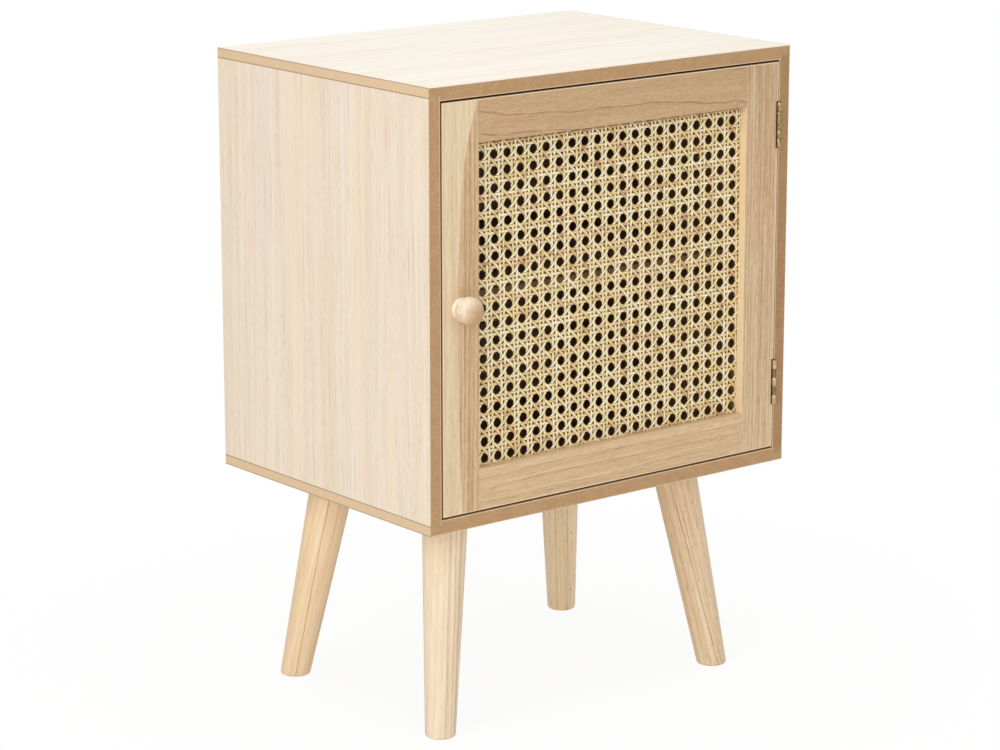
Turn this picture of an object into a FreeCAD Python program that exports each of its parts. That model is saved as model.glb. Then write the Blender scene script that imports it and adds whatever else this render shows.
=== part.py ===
import FreeCAD, Part
import math
import os
import re
import Sketcher

# Nightstand: a rabbeted board carcass on four splayed turned legs, with one hinged door of cane webbing.
# Millimetres, +Z up, front towards -Y. The origin is on the floor under the middle of the overall box.

doc = FreeCAD.newDocument("Nightstand")

# Driving dimensions. A name that ends in share is a plain ratio, and every other one is a length.
SIZES = {
    # Carcass of veneered board
    "carcass_width": 400,
    "carcass_depth": 300,
    "carcass_height": 375,
    "board_thickness": 12,
    "side_housing_depth": 4,
    "back_thickness": 3,
    "back_lap": 6,
    "back_nail_diameter": 1.6,
    "back_nail_head": 3.6,
    "back_nail_length": 16,
    # Shelf on four pins
    "shelf_thickness": 12,
    "shelf_rise": 169.5,
    "shelf_setback": 30,
    "shelf_gap": 0.5,
    "shelf_pin_diameter": 5,
    "shelf_pin_length": 16,
    "shelf_pin_inset": 45,
    # Door frame, flush with the front edges of the carcass
    "door_thickness": 16,
    "door_gap": 2,
    "stile_width": 38,
    "rail_width": 36,
    "lip_thickness": 7,
    "rebate_width": 8,
    "dowel_diameter": 6,
    "dowel_length": 40,
    "dowel_edge": 7,
    # Cane webbing and the beads that hold it
    "cane_thickness": 2,
    "cane_edge_gap": 0.5,
    "cane_hole_share": 0.54,
    "brad_diameter": 1.2,
    "brad_length": 14,
    # Knob, a little above the middle of the door
    "knob_rise": 1.5,
    "knob_projection": 19,
    "knob_cap_diameter": 24,
    "knob_neck_diameter": 14,
    "knob_neck_length": 2.5,
    "knob_flange_diameter": 19,
    "knob_flange_thickness": 3.5,
    "knob_dome_rise": 1.5,
    "knob_front_rounding_share": 0.42,
    "knob_back_rounding_share": 0.85,
    "knob_flange_rounding_share": 0.4,
    "knob_screw_diameter": 4,
    "knob_screw_grip": 10,
    "knob_screw_head": 8,
    "knob_screw_head_height": 2.5,
    # Butt hinges
    "hinge_height": 40,
    "hinge_gap": 1,
    "hinge_leaf_width": 13,
    "hinge_leaf_thickness": 1,
    "hinge_knuckle_diameter": 4,
    "hinge_pin_diameter": 2,
    "hinge_pin_proud": 1,
    "hinge_play": 0.3,
    "hinge_notch_room": 0.8,
    "pin_clearance": 0.05,
    "upper_hinge_drop": 57.5,
    "lower_hinge_rise": 61.5,
    "hinge_screw_diameter": 2.5,
    "hinge_screw_head": 4.4,
    "hinge_screw_spacing": 26,
    "hinge_screw_setback": 8.5,
    # Magnetic catch under the top panel and its strike on the door
    "catch_offset": 36,
    "catch_width": 30,
    "catch_depth": 16,
    "catch_height": 14,
    "catch_ear_span": 48,
    "catch_ear_thickness": 3,
    "catch_screw_spacing": 39,
    "catch_screw_diameter": 3,
    "catch_screw_head": 5.4,
    "catch_gap": 0.4,
    "magnet_width": 24,
    "magnet_depth": 12,
    "magnet_height": 8,
    "magnet_reach": 0.8,
    "strike_width": 30,
    "strike_height": 10,
    "strike_thickness": 1.2,
    "strike_depth_share": 0.55,
    # Legs, splayed along the diagonals
    "leg_height": 195,
    "leg_top_inset": 70.5,
    "leg_foot_inset": 42.5,
    "leg_top_diameter": 40,
    "leg_foot_diameter": 26.5,
    "leg_foot_rounding": 2.5,
    # Angled leg plates, their screws and the hanger bolts
    "leg_plate_size": 60,
    "leg_plate_thickness": 2,
    "leg_plate_rounding": 6,
    "leg_plate_gap": 1,
    "leg_boss_diameter": 30,
    "plate_screw_spacing": 46,
    "plate_screw_diameter": 3.5,
    "plate_screw_head": 6.8,
    "hanger_bolt_diameter": 8,
    "hanger_bolt_grip": 30,
    # Shared by several joints
    "screw_depth_share": 0.75,
    "fit_clearance": 0.1,
    "overrun": 5,
}
CANE_COLUMNS = 21
CANE_ROWS = 19
CANE_HOLE_SIDES = 8
HINGE_KNUCKLES = 5
BACK_NAIL_SHARES = (0.08, 0.5, 0.92)
BRAD_SHARES = (0.2, 0.8)
TOUCH_TOLERANCE = 1e-3

sheet = doc.addObject("Spreadsheet::Sheet", "Sizes")
for row, (alias, value) in enumerate(SIZES.items(), start=1):
    sheet.set(f"A{row}", alias)
    sheet.set(f"B{row}", str(value))
    sheet.setAlias(f"B{row}", alias)
doc.recompute()

# Planes and levels of the shared frame, as formulas in the names of the sheet
CENTRE_Y = "(knob_projection / 2)"
FRONT_Y = f"({CENTRE_Y} - carcass_depth / 2)"
BACK_Y = f"({CENTRE_Y} + carcass_depth / 2)"
OUTER_LEFT = "(-carcass_width / 2)"
OUTER_RIGHT = "(carcass_width / 2)"
INNER_LEFT = f"({OUTER_LEFT} + board_thickness)"
INNER_RIGHT = f"({OUTER_RIGHT} - board_thickness)"
UNDERSIDE = "leg_height"
INNER_FLOOR = "(leg_height + board_thickness)"
INNER_CEILING = "(leg_height + carcass_height - board_thickness)"
CARCASS_TOP = "(leg_height + carcass_height)"

DOOR_LEFT = f"({INNER_LEFT} + door_gap)"
DOOR_RIGHT = f"({INNER_RIGHT} - hinge_gap)"
DOOR_BOTTOM = f"({INNER_FLOOR} + door_gap)"
DOOR_TOP = f"({INNER_CEILING} - door_gap)"
DOOR_BACK = f"({FRONT_Y} + door_thickness)"
SIGHT_LEFT = f"({DOOR_LEFT} + stile_width)"
SIGHT_RIGHT = f"({DOOR_RIGHT} - stile_width)"
SIGHT_BOTTOM = f"({DOOR_BOTTOM} + rail_width)"
SIGHT_TOP = f"({DOOR_TOP} - rail_width)"

DIRECTIONS = {
    "+x": FreeCAD.Rotation(FreeCAD.Vector(0, 1, 0), 90),
    "-x": FreeCAD.Rotation(FreeCAD.Vector(0, 1, 0), -90),
    "-y": FreeCAD.Rotation(FreeCAD.Vector(1, 0, 0), 90),
    "+z": FreeCAD.Rotation(),
    "-z": FreeCAD.Rotation(FreeCAD.Vector(1, 0, 0), 180),
}
SIZE_NAMES = re.compile(r"\b(" + "|".join(SIZES) + r")\b")
sub_parts = []


def size(alias):
    """A driving dimension, read back from the sheet."""
    return float(sheet.get(alias))


def bind(item, formulas):
    """Ties properties of an object to formulas in the names of the sheet."""
    for path, formula in formulas.items():
        item.setExpression(path, SIZE_NAMES.sub(r"Sizes.\1", formula))


def place(item, spot, rotation=FreeCAD.Rotation()):
    """Sets an object's placement: a fixed rotation and a spot given as three formulas."""
    item.Placement = FreeCAD.Placement(FreeCAD.Vector(), rotation)
    bind(item, {f"Placement.Base.{axis}": formula for axis, formula in zip("xyz", spot)})
    return item


def block(name, low, high):
    """A rectangular block between its lowest and its highest corner."""
    item = doc.addObject("Part::Box", name)
    lengths = [f"({end}) - ({start})" for start, end in zip(low, high)]
    bind(item, dict(zip(("Length", "Width", "Height"), lengths)))
    return place(item, low)


def rod(name, diameter, spot, length, direction):
    """A round rod that starts at a spot and runs along an axis."""
    item = doc.addObject("Part::Cylinder", name)
    bind(item, {"Radius": f"({diameter}) / 2", "Height": length})
    return place(item, spot, DIRECTIONS[direction])


def group(name, items):
    """Separate solids kept together."""
    item = doc.addObject("Part::Compound", name)
    item.Links = items
    return item


def fuse(name, items):
    """Several overlapping shapes as one solid."""
    item = doc.addObject("Part::MultiFuse", name)
    item.Shapes = items
    return item


def cut(name, base, tools):
    """What is left of a shape once the tools are taken out of it."""
    item = doc.addObject("Part::Cut", name)
    item.Base = base
    item.Tool = tools[0] if len(tools) == 1 else fuse(f"{name}_tools", tools)
    return item


def sub_part(item):
    """Notes an object as one of the pieces that are written out."""
    sub_parts.append(item)
    return item


def screw(name, make, spot, direction, length, room="0"):
    """A countersunk screw from the middle of its head's face or, with room to spare, the hole for it."""
    shank_radius = f"{make}_diameter / 2 + {room}"
    shank = rod(f"{name}_shank", f"2 * ({shank_radius})", spot, f"{length} + {room}", direction)
    head = doc.addObject("Part::Cone", f"{name}_head")
    head_height = f"({make}_head - {make}_diameter) / 2"
    bind(head, {"Radius1": f"{make}_head / 2 + {room}", "Radius2": shank_radius, "Height": head_height})
    place(head, spot, DIRECTIONS[direction])
    return fuse(name, [head, shank])


def screw_set(label, make, spots, direction, length):
    """Like screws as one group, and the holes that they need."""
    screws = [screw(f"{label}_{n}", make, spot, direction, length) for n, spot in enumerate(spots)]
    holes = [
        screw(f"{label}_hole_{n}", make, spot, direction, length, "fit_clearance")
        for n, spot in enumerate(spots)
    ]
    return group(label, screws), holes


def origin_plane(body, role):
    """One of a body's own origin planes."""
    return next(plane for plane in body.Origin.OriginFeatures if plane.Role == role)


def body_sketch(body, role, outline, dome_edge=None):
    """A closed outline on a body's origin plane, each corner held by two formulas.

    The edge that starts at corner dome_edge is an arc with its centre on the vertical axis.
    """
    sketch = body.newObject("Sketcher::SketchObject", f"{body.Label}_outline")
    sketch.AttachmentSupport = [(origin_plane(body, role), "")]
    sketch.MapMode = "FlatFace"
    count = len(outline)
    step = 2 * math.pi / count
    first = math.pi / 2 - step * ((dome_edge or 0) + 1)
    turns = [first + step * n for n in range(count)]
    starts = [FreeCAD.Vector(math.cos(turn), math.sin(turn), 0) for turn in turns]
    for n in range(count):
        if n == dome_edge:
            circle = Part.Circle(FreeCAD.Vector(), FreeCAD.Vector(0, 0, 1), 1)
            sketch.addGeometry(Part.ArcOfCircle(circle, math.pi / 2 - step, math.pi / 2), False)
        else:
            sketch.addGeometry(Part.LineSegment(starts[n], starts[(n + 1) % count]), False)
    for n in range(count):
        sketch.addConstraint(Sketcher.Constraint("Coincident", n, 2, (n + 1) % count, 1))
    if dome_edge is not None:
        sketch.addConstraint(Sketcher.Constraint("PointOnObject", dome_edge, 3, -2))
    for n, corner in enumerate(outline):
        for kind, start, formula in zip(("DistanceX", "DistanceY"), starts[n], corner):
            index = sketch.addConstraint(Sketcher.Constraint(kind, -1, 1, n, 1, start))
            bind(sketch, {f"Constraints[{index}]": formula})
    return sketch


# Blanks of the carcass, which also cut the housings that they fit into
left_blank = block(
    "left_side_blank",
    (OUTER_LEFT, FRONT_Y, f"{INNER_FLOOR} - side_housing_depth"),
    (INNER_LEFT, BACK_Y, f"{INNER_CEILING} + side_housing_depth"),
)
right_blank = block(
    "right_side_blank",
    (INNER_RIGHT, FRONT_Y, f"{INNER_FLOOR} - side_housing_depth"),
    (OUTER_RIGHT, BACK_Y, f"{INNER_CEILING} + side_housing_depth"),
)
back_blank = block(
    "back_blank",
    (f"{INNER_LEFT} - back_lap", f"{BACK_Y} - back_thickness", f"{INNER_FLOOR} - back_lap"),
    (f"{INNER_RIGHT} + back_lap", BACK_Y, f"{INNER_CEILING} + back_lap"),
)
bottom_blank = block("bottom_blank", (OUTER_LEFT, FRONT_Y, UNDERSIDE), (OUTER_RIGHT, BACK_Y, INNER_FLOOR))
top_blank = block("top_blank", (OUTER_LEFT, FRONT_Y, INNER_CEILING), (OUTER_RIGHT, BACK_Y, CARCASS_TOP))

# Nails round the back panel, in the middle of its lap
nail_spots = []
for share in BACK_NAIL_SHARES:
    nail_x = f"{INNER_LEFT} + {share} * ({INNER_RIGHT} - {INNER_LEFT})"
    nail_z = f"{INNER_FLOOR} + {share} * ({INNER_CEILING} - {INNER_FLOOR})"
    nail_spots += [
        (nail_x, BACK_Y, f"{INNER_FLOOR} - back_lap / 2"),
        (nail_x, BACK_Y, f"{INNER_CEILING} + back_lap / 2"),
        (f"{INNER_LEFT} - back_lap / 2", BACK_Y, nail_z),
        (f"{INNER_RIGHT} + back_lap / 2", BACK_Y, nail_z),
    ]
back_nails, nail_holes = screw_set("back_panel_nails", "back_nail", nail_spots, "-y", "back_nail_length")
sub_part(back_nails)
sub_part(cut("back_panel", back_blank, nail_holes))

# Shelf and its pins
SHELF_FRONT = f"({FRONT_Y} + shelf_setback)"
SHELF_BACK = f"({BACK_Y} - back_thickness - shelf_gap)"
SHELF_UNDERSIDE = f"({INNER_FLOOR} + shelf_rise)"
sub_part(block(
    "shelf",
    (f"{INNER_LEFT} + shelf_gap", SHELF_FRONT, SHELF_UNDERSIDE),
    (f"{INNER_RIGHT} - shelf_gap", SHELF_BACK, f"{SHELF_UNDERSIDE} + shelf_thickness"),
))
PIN_DEPTHS = {"front": f"{SHELF_FRONT} + shelf_pin_inset", "back": f"{SHELF_BACK} - shelf_pin_inset"}
pins = []
pin_holes = {"left": [], "right": []}
for side, wall in (("left", INNER_LEFT), ("right", INNER_RIGHT)):
    for end, pin_y in PIN_DEPTHS.items():
        pin_z = f"{SHELF_UNDERSIDE} - shelf_pin_diameter / 2"
        pin_start = (f"{wall} - shelf_pin_length / 2", pin_y, pin_z)
        pin_hole_start = (f"{wall} - shelf_pin_length / 2 - fit_clearance", pin_y, pin_z)
        pins.append(rod(f"shelf_pin_{side}_{end}", "shelf_pin_diameter", pin_start, "shelf_pin_length", "+x"))
        pin_holes[side].append(rod(
            f"shelf_pin_hole_{side}_{end}",
            "shelf_pin_diameter + 2 * fit_clearance",
            pin_hole_start,
            "shelf_pin_length + 2 * fit_clearance",
            "+x",
        ))
sub_part(group("shelf_pins", pins))

# Hinges: two leaves let in flush, on one pin just proud of the front
PIN_X = f"({INNER_RIGHT} - hinge_gap / 2)"
PIN_Y = f"({FRONT_Y} - hinge_pin_proud)"
KNUCKLE_PITCH = f"(hinge_height / {HINGE_KNUCKLES})"
HINGE_SCREW_LENGTH = "screw_depth_share * board_thickness"
HINGE_MIDDLES = {
    "upper": f"({INNER_CEILING} - upper_hinge_drop)",
    "lower": f"({INNER_FLOOR} + lower_hinge_rise)",
}


def hinge_leaf(label, plate, foot, own_knuckles, screw_holes):
    """A leaf: its plate, slotted where the other leaf turns, with its own knuckles and the pin's bore."""
    slots = []
    knuckles = [plate]
    for n in range(HINGE_KNUCKLES):
        start = f"{foot} + {n} * {KNUCKLE_PITCH}"
        if n in own_knuckles:
            knuckles.append(rod(
                f"{label}_knuckle_{n}",
                "hinge_knuckle_diameter",
                (PIN_X, PIN_Y, f"{start} + hinge_play / 2"),
                f"{KNUCKLE_PITCH} - hinge_play",
                "+z",
            ))
        else:
            slots.append(rod(
                f"{label}_slot_{n}",
                "hinge_knuckle_diameter + 2 * hinge_play",
                (PIN_X, PIN_Y, start),
                KNUCKLE_PITCH,
                "+z",
            ))
    bore = rod(
        f"{label}_bore",
        "hinge_pin_diameter + 2 * pin_clearance",
        (PIN_X, PIN_Y, f"{foot} - overrun"),
        "hinge_height + 2 * overrun",
        "+z",
    )
    rolled = fuse(f"{label}_rolled", knuckles)
    return sub_part(cut(label, rolled, slots + [bore] + screw_holes))


carcass_hinge_cuts = []
door_hinge_cuts = []
for level, middle in HINGE_MIDDLES.items():
    hinge = f"{level}_hinge"
    foot = f"({middle} - hinge_height / 2)"
    leaf_back = f"{PIN_Y} + hinge_leaf_width"
    carcass_plate = block(
        f"{hinge}_carcass_plate",
        (INNER_RIGHT, PIN_Y, foot),
        (f"{INNER_RIGHT} + hinge_leaf_thickness", leaf_back, f"{foot} + hinge_height"),
    )
    door_plate = block(
        f"{hinge}_door_plate",
        (f"{DOOR_RIGHT} - hinge_leaf_thickness", PIN_Y, foot),
        (DOOR_RIGHT, leaf_back, f"{foot} + hinge_height"),
    )
    notch = rod(
        f"{hinge}_notch",
        "hinge_knuckle_diameter + 2 * hinge_notch_room",
        (PIN_X, PIN_Y, f"{foot} - hinge_notch_room"),
        "hinge_height + 2 * hinge_notch_room",
        "+z",
    )
    screw_y = f"{PIN_Y} + hinge_screw_setback"
    screw_levels = [f"{middle} + {end} * hinge_screw_spacing / 2" for end in (-1, 1)]
    carcass_screws, carcass_screw_holes = screw_set(
        f"{hinge}_carcass_screws",
        "hinge_screw",
        [(INNER_RIGHT, screw_y, screw_z) for screw_z in screw_levels],
        "+x",
        HINGE_SCREW_LENGTH,
    )
    door_screws, door_screw_holes = screw_set(
        f"{hinge}_door_screws",
        "hinge_screw",
        [(DOOR_RIGHT, screw_y, screw_z) for screw_z in screw_levels],
        "-x",
        HINGE_SCREW_LENGTH,
    )
    sub_part(carcass_screws)
    sub_part(door_screws)
    carcass_knuckles = range(0, HINGE_KNUCKLES, 2)
    door_knuckles = range(1, HINGE_KNUCKLES, 2)
    hinge_leaf(f"{hinge}_carcass_leaf", carcass_plate, foot, carcass_knuckles, carcass_screw_holes)
    hinge_leaf(f"{hinge}_door_leaf", door_plate, foot, door_knuckles, door_screw_holes)
    sub_part(rod(f"{hinge}_pin", "hinge_pin_diameter", (PIN_X, PIN_Y, foot), "hinge_height", "+z"))
    carcass_hinge_cuts += [carcass_plate, notch] + carcass_screw_holes
    door_hinge_cuts += [door_plate, notch] + door_screw_holes

# Magnetic catch: a housing with ears, its magnet, and a strike plate on the back of the door
CATCH_X = f"({SIGHT_LEFT} + catch_offset)"
CATCH_Z = f"({INNER_CEILING} - catch_height / 2)"
STRIKE_BACK = f"({DOOR_BACK} + strike_thickness)"
MAGNET_FACE = f"({STRIKE_BACK} + catch_gap)"
HOUSING_FACE = f"({MAGNET_FACE} + magnet_reach)"
HOUSING_BACK = f"({HOUSING_FACE} + catch_depth)"
MAGNET_BACK = f"({HOUSING_FACE} + magnet_depth)"

catch_screw_spots = [
    (
        f"{CATCH_X} + {end} * catch_screw_spacing / 2",
        f"{HOUSING_FACE} + catch_depth / 2",
        f"{INNER_CEILING} - catch_ear_thickness",
    )
    for end in (-1, 1)
]
catch_screws, catch_screw_holes = screw_set(
    "catch_screws",
    "catch_screw",
    catch_screw_spots,
    "+z",
    "(catch_ear_thickness + screw_depth_share * board_thickness)",
)
sub_part(catch_screws)
catch_body = block(
    "catch_body",
    (f"{CATCH_X} - catch_width / 2", HOUSING_FACE, f"{INNER_CEILING} - catch_height"),
    (f"{CATCH_X} + catch_width / 2", HOUSING_BACK, INNER_CEILING),
)
catch_ears = block(
    "catch_ears",
    (f"{CATCH_X} - catch_ear_span / 2", HOUSING_FACE, f"{INNER_CEILING} - catch_ear_thickness"),
    (f"{CATCH_X} + catch_ear_span / 2", HOUSING_BACK, INNER_CEILING),
)
magnet_pocket = block(
    "magnet_pocket",
    (
        f"{CATCH_X} - magnet_width / 2 - fit_clearance",
        f"{HOUSING_FACE} - overrun",
        f"{CATCH_Z} - magnet_height / 2 - fit_clearance",
    ),
    (
        f"{CATCH_X} + magnet_width / 2 + fit_clearance",
        MAGNET_BACK,
        f"{CATCH_Z} + magnet_height / 2 + fit_clearance",
    ),
)
catch_shell = fuse("catch_shell", [catch_body, catch_ears])
sub_part(cut("catch_housing", catch_shell, [magnet_pocket] + catch_screw_holes))
sub_part(block(
    "catch_magnet",
    (f"{CATCH_X} - magnet_width / 2", MAGNET_FACE, f"{CATCH_Z} - magnet_height / 2"),
    (f"{CATCH_X} + magnet_width / 2", MAGNET_BACK, f"{CATCH_Z} + magnet_height / 2"),
))
strike_screw, strike_screw_holes = screw_set(
    "strike_screw",
    "catch_screw",
    [(CATCH_X, STRIKE_BACK, CATCH_Z)],
    "-y",
    "(strike_thickness + strike_depth_share * door_thickness)",
)
sub_part(strike_screw)
strike_blank = block(
    "strike_blank",
    (f"{CATCH_X} - strike_width / 2", DOOR_BACK, f"{CATCH_Z} - strike_height / 2"),
    (f"{CATCH_X} + strike_width / 2", STRIKE_BACK, f"{CATCH_Z} + strike_height / 2"),
)
sub_part(cut("strike_plate", strike_blank, strike_screw_holes))

# Legs: cones about an axis that leaves the underside at the origin and runs outwards along +X
LEG_SPLAY = "(sqrt(2) * (leg_top_inset - leg_foot_inset))"
LEG_LENGTH = f"sqrt({LEG_SPLAY} ^ 2 + leg_height ^ 2)"
LEG_SINE = f"({LEG_SPLAY} / {LEG_LENGTH})"
LEG_COSINE = f"(leg_height / {LEG_LENGTH})"
LEG_SEAT = f"((leg_plate_thickness + leg_plate_gap + leg_top_diameter / 2 * {LEG_SINE}) / {LEG_COSINE})"
LEG_EXCESS = f"(leg_foot_diameter * {LEG_SINE} / {LEG_COSINE})"
LEG_TAPER = f"((leg_top_diameter - leg_foot_diameter) / 2 / ({LEG_LENGTH} - {LEG_SEAT}))"
BOLT_END = f"(hanger_bolt_diameter / 2 * {LEG_SINE} / {LEG_COSINE} + fit_clearance)"
CORNERS = {
    "front_left": (-1, -1),
    "front_right": (1, -1),
    "back_left": (-1, 1),
    "back_right": (1, 1),
}


def lean(item, distance):
    """Stands a shape on the leg's axis, at a distance from the underside, and points it back up the axis."""
    spot = (f"({distance}) * {LEG_SINE}", "0", f"-({distance}) * {LEG_COSINE}")
    place(item, spot, FreeCAD.Rotation(FreeCAD.Vector(0, -1, 0), 1))
    bind(item, {"Placement.Rotation.Angle": f"atan({LEG_SPLAY} / leg_height)"})
    return item


def leaning_rod(name, diameter, low, high):
    """A rod along the leg's axis between two distances from the underside."""
    item = doc.addObject("Part::Cylinder", name)
    bind(item, {"Radius": f"({diameter}) / 2", "Height": f"({low}) - ({high})"})
    return lean(item, low)


def stand_at(item, corner):
    """Moves what is made about a leg's axis to one corner of the carcass."""
    side, end = CORNERS[corner]
    turn = math.degrees(math.atan2(end, side))
    spot = (
        f"{side} * (carcass_width / 2 - leg_top_inset)",
        f"{CENTRE_Y} + {end} * (carcass_depth / 2 - leg_top_inset)",
        UNDERSIDE,
    )
    return place(item, spot, FreeCAD.Rotation(FreeCAD.Vector(0, 0, 1), turn))


def edge_numbers(shape, wanted):
    """The numbers of the edges that a test accepts."""
    return [n for n, edge in enumerate(shape.Edges, start=1) if wanted(edge)]


def rounded(name, base, wanted, radius):
    """A shape with the edges that a test accepts rounded off."""
    doc.recompute()
    item = doc.addObject("Part::Fillet", name)
    item.Base = base
    item.Edges = [(n, radius, radius) for n in edge_numbers(base.Shape, wanted)]
    return item


def on_floor(edge):
    """True for an edge that lies on the floor, seen from a leg's own origin."""
    return edge.BoundBox.ZMax < TOUCH_TOLERANCE - size("leg_height")


def upright(edge):
    """True for a straight edge along Z."""
    box = edge.BoundBox
    return box.XLength < TOUCH_TOLERANCE and box.YLength < TOUCH_TOLERANCE


bolt_bore = leaning_rod(
    "hanger_bolt_bore",
    "hanger_bolt_diameter + 2 * fit_clearance",
    f"{LEG_SEAT} + hanger_bolt_grip + fit_clearance",
    f"-{LEG_SEAT}",
)
foot_trim = block(
    "foot_trim",
    ("-leg_foot_diameter", "-leg_foot_diameter", f"-leg_height - 2 * {LEG_EXCESS}"),
    (f"{LEG_SPLAY} + 2 * leg_foot_diameter", "leg_foot_diameter", "-leg_height"),
)
plate_head_room = block(
    "plate_head_room",
    ("-leg_plate_size", "-leg_plate_size", "0"),
    ("leg_plate_size", "leg_plate_size", f"2 * {LEG_SEAT}"),
)
plate_screw_spots = [
    (f"{side} * plate_screw_spacing / 2", f"{end} * plate_screw_spacing / 2", "-leg_plate_thickness")
    for side, end in CORNERS.values()
]
corner_screws, corner_screw_holes = screw_set(
    "corner_plate_screws",
    "plate_screw",
    plate_screw_spots,
    "+z",
    "(leg_plate_thickness + screw_depth_share * board_thickness)",
)


def leg(corner):
    """A tapered round leg with a level, softened foot and a bore for its bolt."""
    cone = doc.addObject("Part::Cone", f"{corner}_leg_cone")
    bind(cone, {
        "Radius1": f"leg_foot_diameter / 2 - {LEG_TAPER} * {LEG_EXCESS}",
        "Radius2": "leg_top_diameter / 2",
        "Height": f"{LEG_LENGTH} + {LEG_EXCESS} - {LEG_SEAT}",
    })
    lean(cone, f"({LEG_LENGTH} + {LEG_EXCESS})")
    levelled = cut(f"{corner}_leg_levelled", cone, [foot_trim])
    softened = rounded(f"{corner}_leg_softened", levelled, on_floor, size("leg_foot_rounding"))
    return stand_at(cut(f"{corner}_leg", softened, [bolt_bore]), corner)


def leg_plate(corner):
    """A steel plate with an inclined boss that the leg's top end seats against."""
    sheet_metal = block(
        f"{corner}_plate_blank",
        ("-leg_plate_size / 2", "-leg_plate_size / 2", "-leg_plate_thickness"),
        ("leg_plate_size / 2", "leg_plate_size / 2", "0"),
    )
    plate = rounded(f"{corner}_plate_rounded", sheet_metal, upright, size("leg_plate_rounding"))
    boss = leaning_rod(f"{corner}_plate_boss", "leg_boss_diameter", LEG_SEAT, f"-{LEG_SEAT}")
    level_boss = cut(f"{corner}_plate_level_boss", boss, [plate_head_room])
    pressed = fuse(f"{corner}_plate_pressed", [plate, level_boss])
    return stand_at(cut(f"{corner}_leg_plate", pressed, [bolt_bore] + corner_screw_holes), corner)


def hanger_bolt(corner):
    """The bolt that draws a leg up against its plate."""
    bolt = leaning_rod(
        f"{corner}_bolt_rod",
        "hanger_bolt_diameter",
        f"{LEG_SEAT} + hanger_bolt_grip",
        BOLT_END,
    )
    return stand_at(group(f"{corner}_hanger_bolt", [bolt]), corner)


plate_screw_corners = []
plate_screw_cuts = []
for corner in CORNERS:
    sub_part(leg(corner))
    sub_part(leg_plate(corner))
    sub_part(hanger_bolt(corner))
    plate_screw_corners.append(stand_at(group(f"{corner}_plate_screws", [corner_screws]), corner))
    plate_screw_cuts.append(stand_at(group(f"{corner}_plate_screw_holes", corner_screw_holes), corner))
sub_part(group("leg_plate_screws", plate_screw_corners))

# Boards of the carcass, housed and drilled for what they carry
back_cuts = [back_blank] + nail_holes
side_housings = [left_blank, right_blank]
sub_part(cut("top_panel", top_blank, side_housings + back_cuts + catch_screw_holes))
sub_part(cut("bottom_panel", bottom_blank, side_housings + back_cuts + plate_screw_cuts))
sub_part(cut("left_side_panel", left_blank, back_cuts + pin_holes["left"]))
sub_part(cut("right_side_panel", right_blank, back_cuts + pin_holes["right"] + carcass_hinge_cuts))

# Door frame: full-height stiles, rails between them on dowels, and a rebate behind the lip
cane_rebate = block(
    "cane_rebate",
    (f"{SIGHT_LEFT} - rebate_width", f"{FRONT_Y} + lip_thickness", f"{SIGHT_BOTTOM} - rebate_width"),
    (f"{SIGHT_RIGHT} + rebate_width", f"{DOOR_BACK} + overrun", f"{SIGHT_TOP} + rebate_width"),
)
DOWEL_Y = f"({FRONT_Y} + door_thickness / 2)"
INNER_DOWEL_EDGE = "(rail_width - rebate_width - dowel_edge)"
dowel_levels = {
    "bottom": [f"{DOOR_BOTTOM} + {edge}" for edge in ("dowel_edge", INNER_DOWEL_EDGE)],
    "top": [f"{DOOR_TOP} - {edge}" for edge in ("dowel_edge", INNER_DOWEL_EDGE)],
}
dowels = []
dowel_holes = []
for rail, levels in dowel_levels.items():
    for side, joint_x in (("left", SIGHT_LEFT), ("right", SIGHT_RIGHT)):
        for n, level in enumerate(levels):
            name = f"dowel_{rail}_{side}_{n}"
            dowel_start = (f"{joint_x} - dowel_length / 2", DOWEL_Y, level)
            hole_start = (f"{joint_x} - dowel_length / 2 - fit_clearance", DOWEL_Y, level)
            hole_length = "dowel_length + 2 * fit_clearance"
            dowels.append(rod(name, "dowel_diameter", dowel_start, "dowel_length", "+x"))
            dowel_holes.append(
                rod(f"{name}_hole", "dowel_diameter + 2 * fit_clearance", hole_start, hole_length, "+x")
            )
sub_part(group("door_frame_dowels", dowels))

# Beads: mitred strips that close the rebate behind the cane, each held by brads into the frame
BEAD_THICKNESS = "(door_thickness - lip_thickness - cane_thickness)"
BEAD_Y = f"({DOOR_BACK} - {BEAD_THICKNESS} / 2)"
BEAD_WIDTH = f"({SIGHT_RIGHT} - {SIGHT_LEFT} + 2 * rebate_width)"
BEAD_HEIGHT = f"({SIGHT_TOP} - {SIGHT_BOTTOM} + 2 * rebate_width)"
BEAD_LEFT = f"({SIGHT_LEFT} - rebate_width)"
BEAD_BOTTOM = f"({SIGHT_BOTTOM} - rebate_width)"
BEAD_OUTLINES = {
    "bottom": [
        ("0", "0"),
        (BEAD_WIDTH, "0"),
        (f"{BEAD_WIDTH} - rebate_width", "rebate_width"),
        ("rebate_width", "rebate_width"),
    ],
    "top": [
        ("rebate_width", f"{BEAD_HEIGHT} - rebate_width"),
        (f"{BEAD_WIDTH} - rebate_width", f"{BEAD_HEIGHT} - rebate_width"),
        (BEAD_WIDTH, BEAD_HEIGHT),
        ("0", BEAD_HEIGHT),
    ],
    "left": [
        ("0", "0"),
        ("rebate_width", "rebate_width"),
        ("rebate_width", f"{BEAD_HEIGHT} - rebate_width"),
        ("0", BEAD_HEIGHT),
    ],
    "right": [
        (f"{BEAD_WIDTH} - rebate_width", "rebate_width"),
        (BEAD_WIDTH, "0"),
        (BEAD_WIDTH, BEAD_HEIGHT),
        (f"{BEAD_WIDTH} - rebate_width", f"{BEAD_HEIGHT} - rebate_width"),
    ],
}
BRAD_DIRECTIONS = {"bottom": "-z", "top": "+z", "left": "-x", "right": "+x"}


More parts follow.
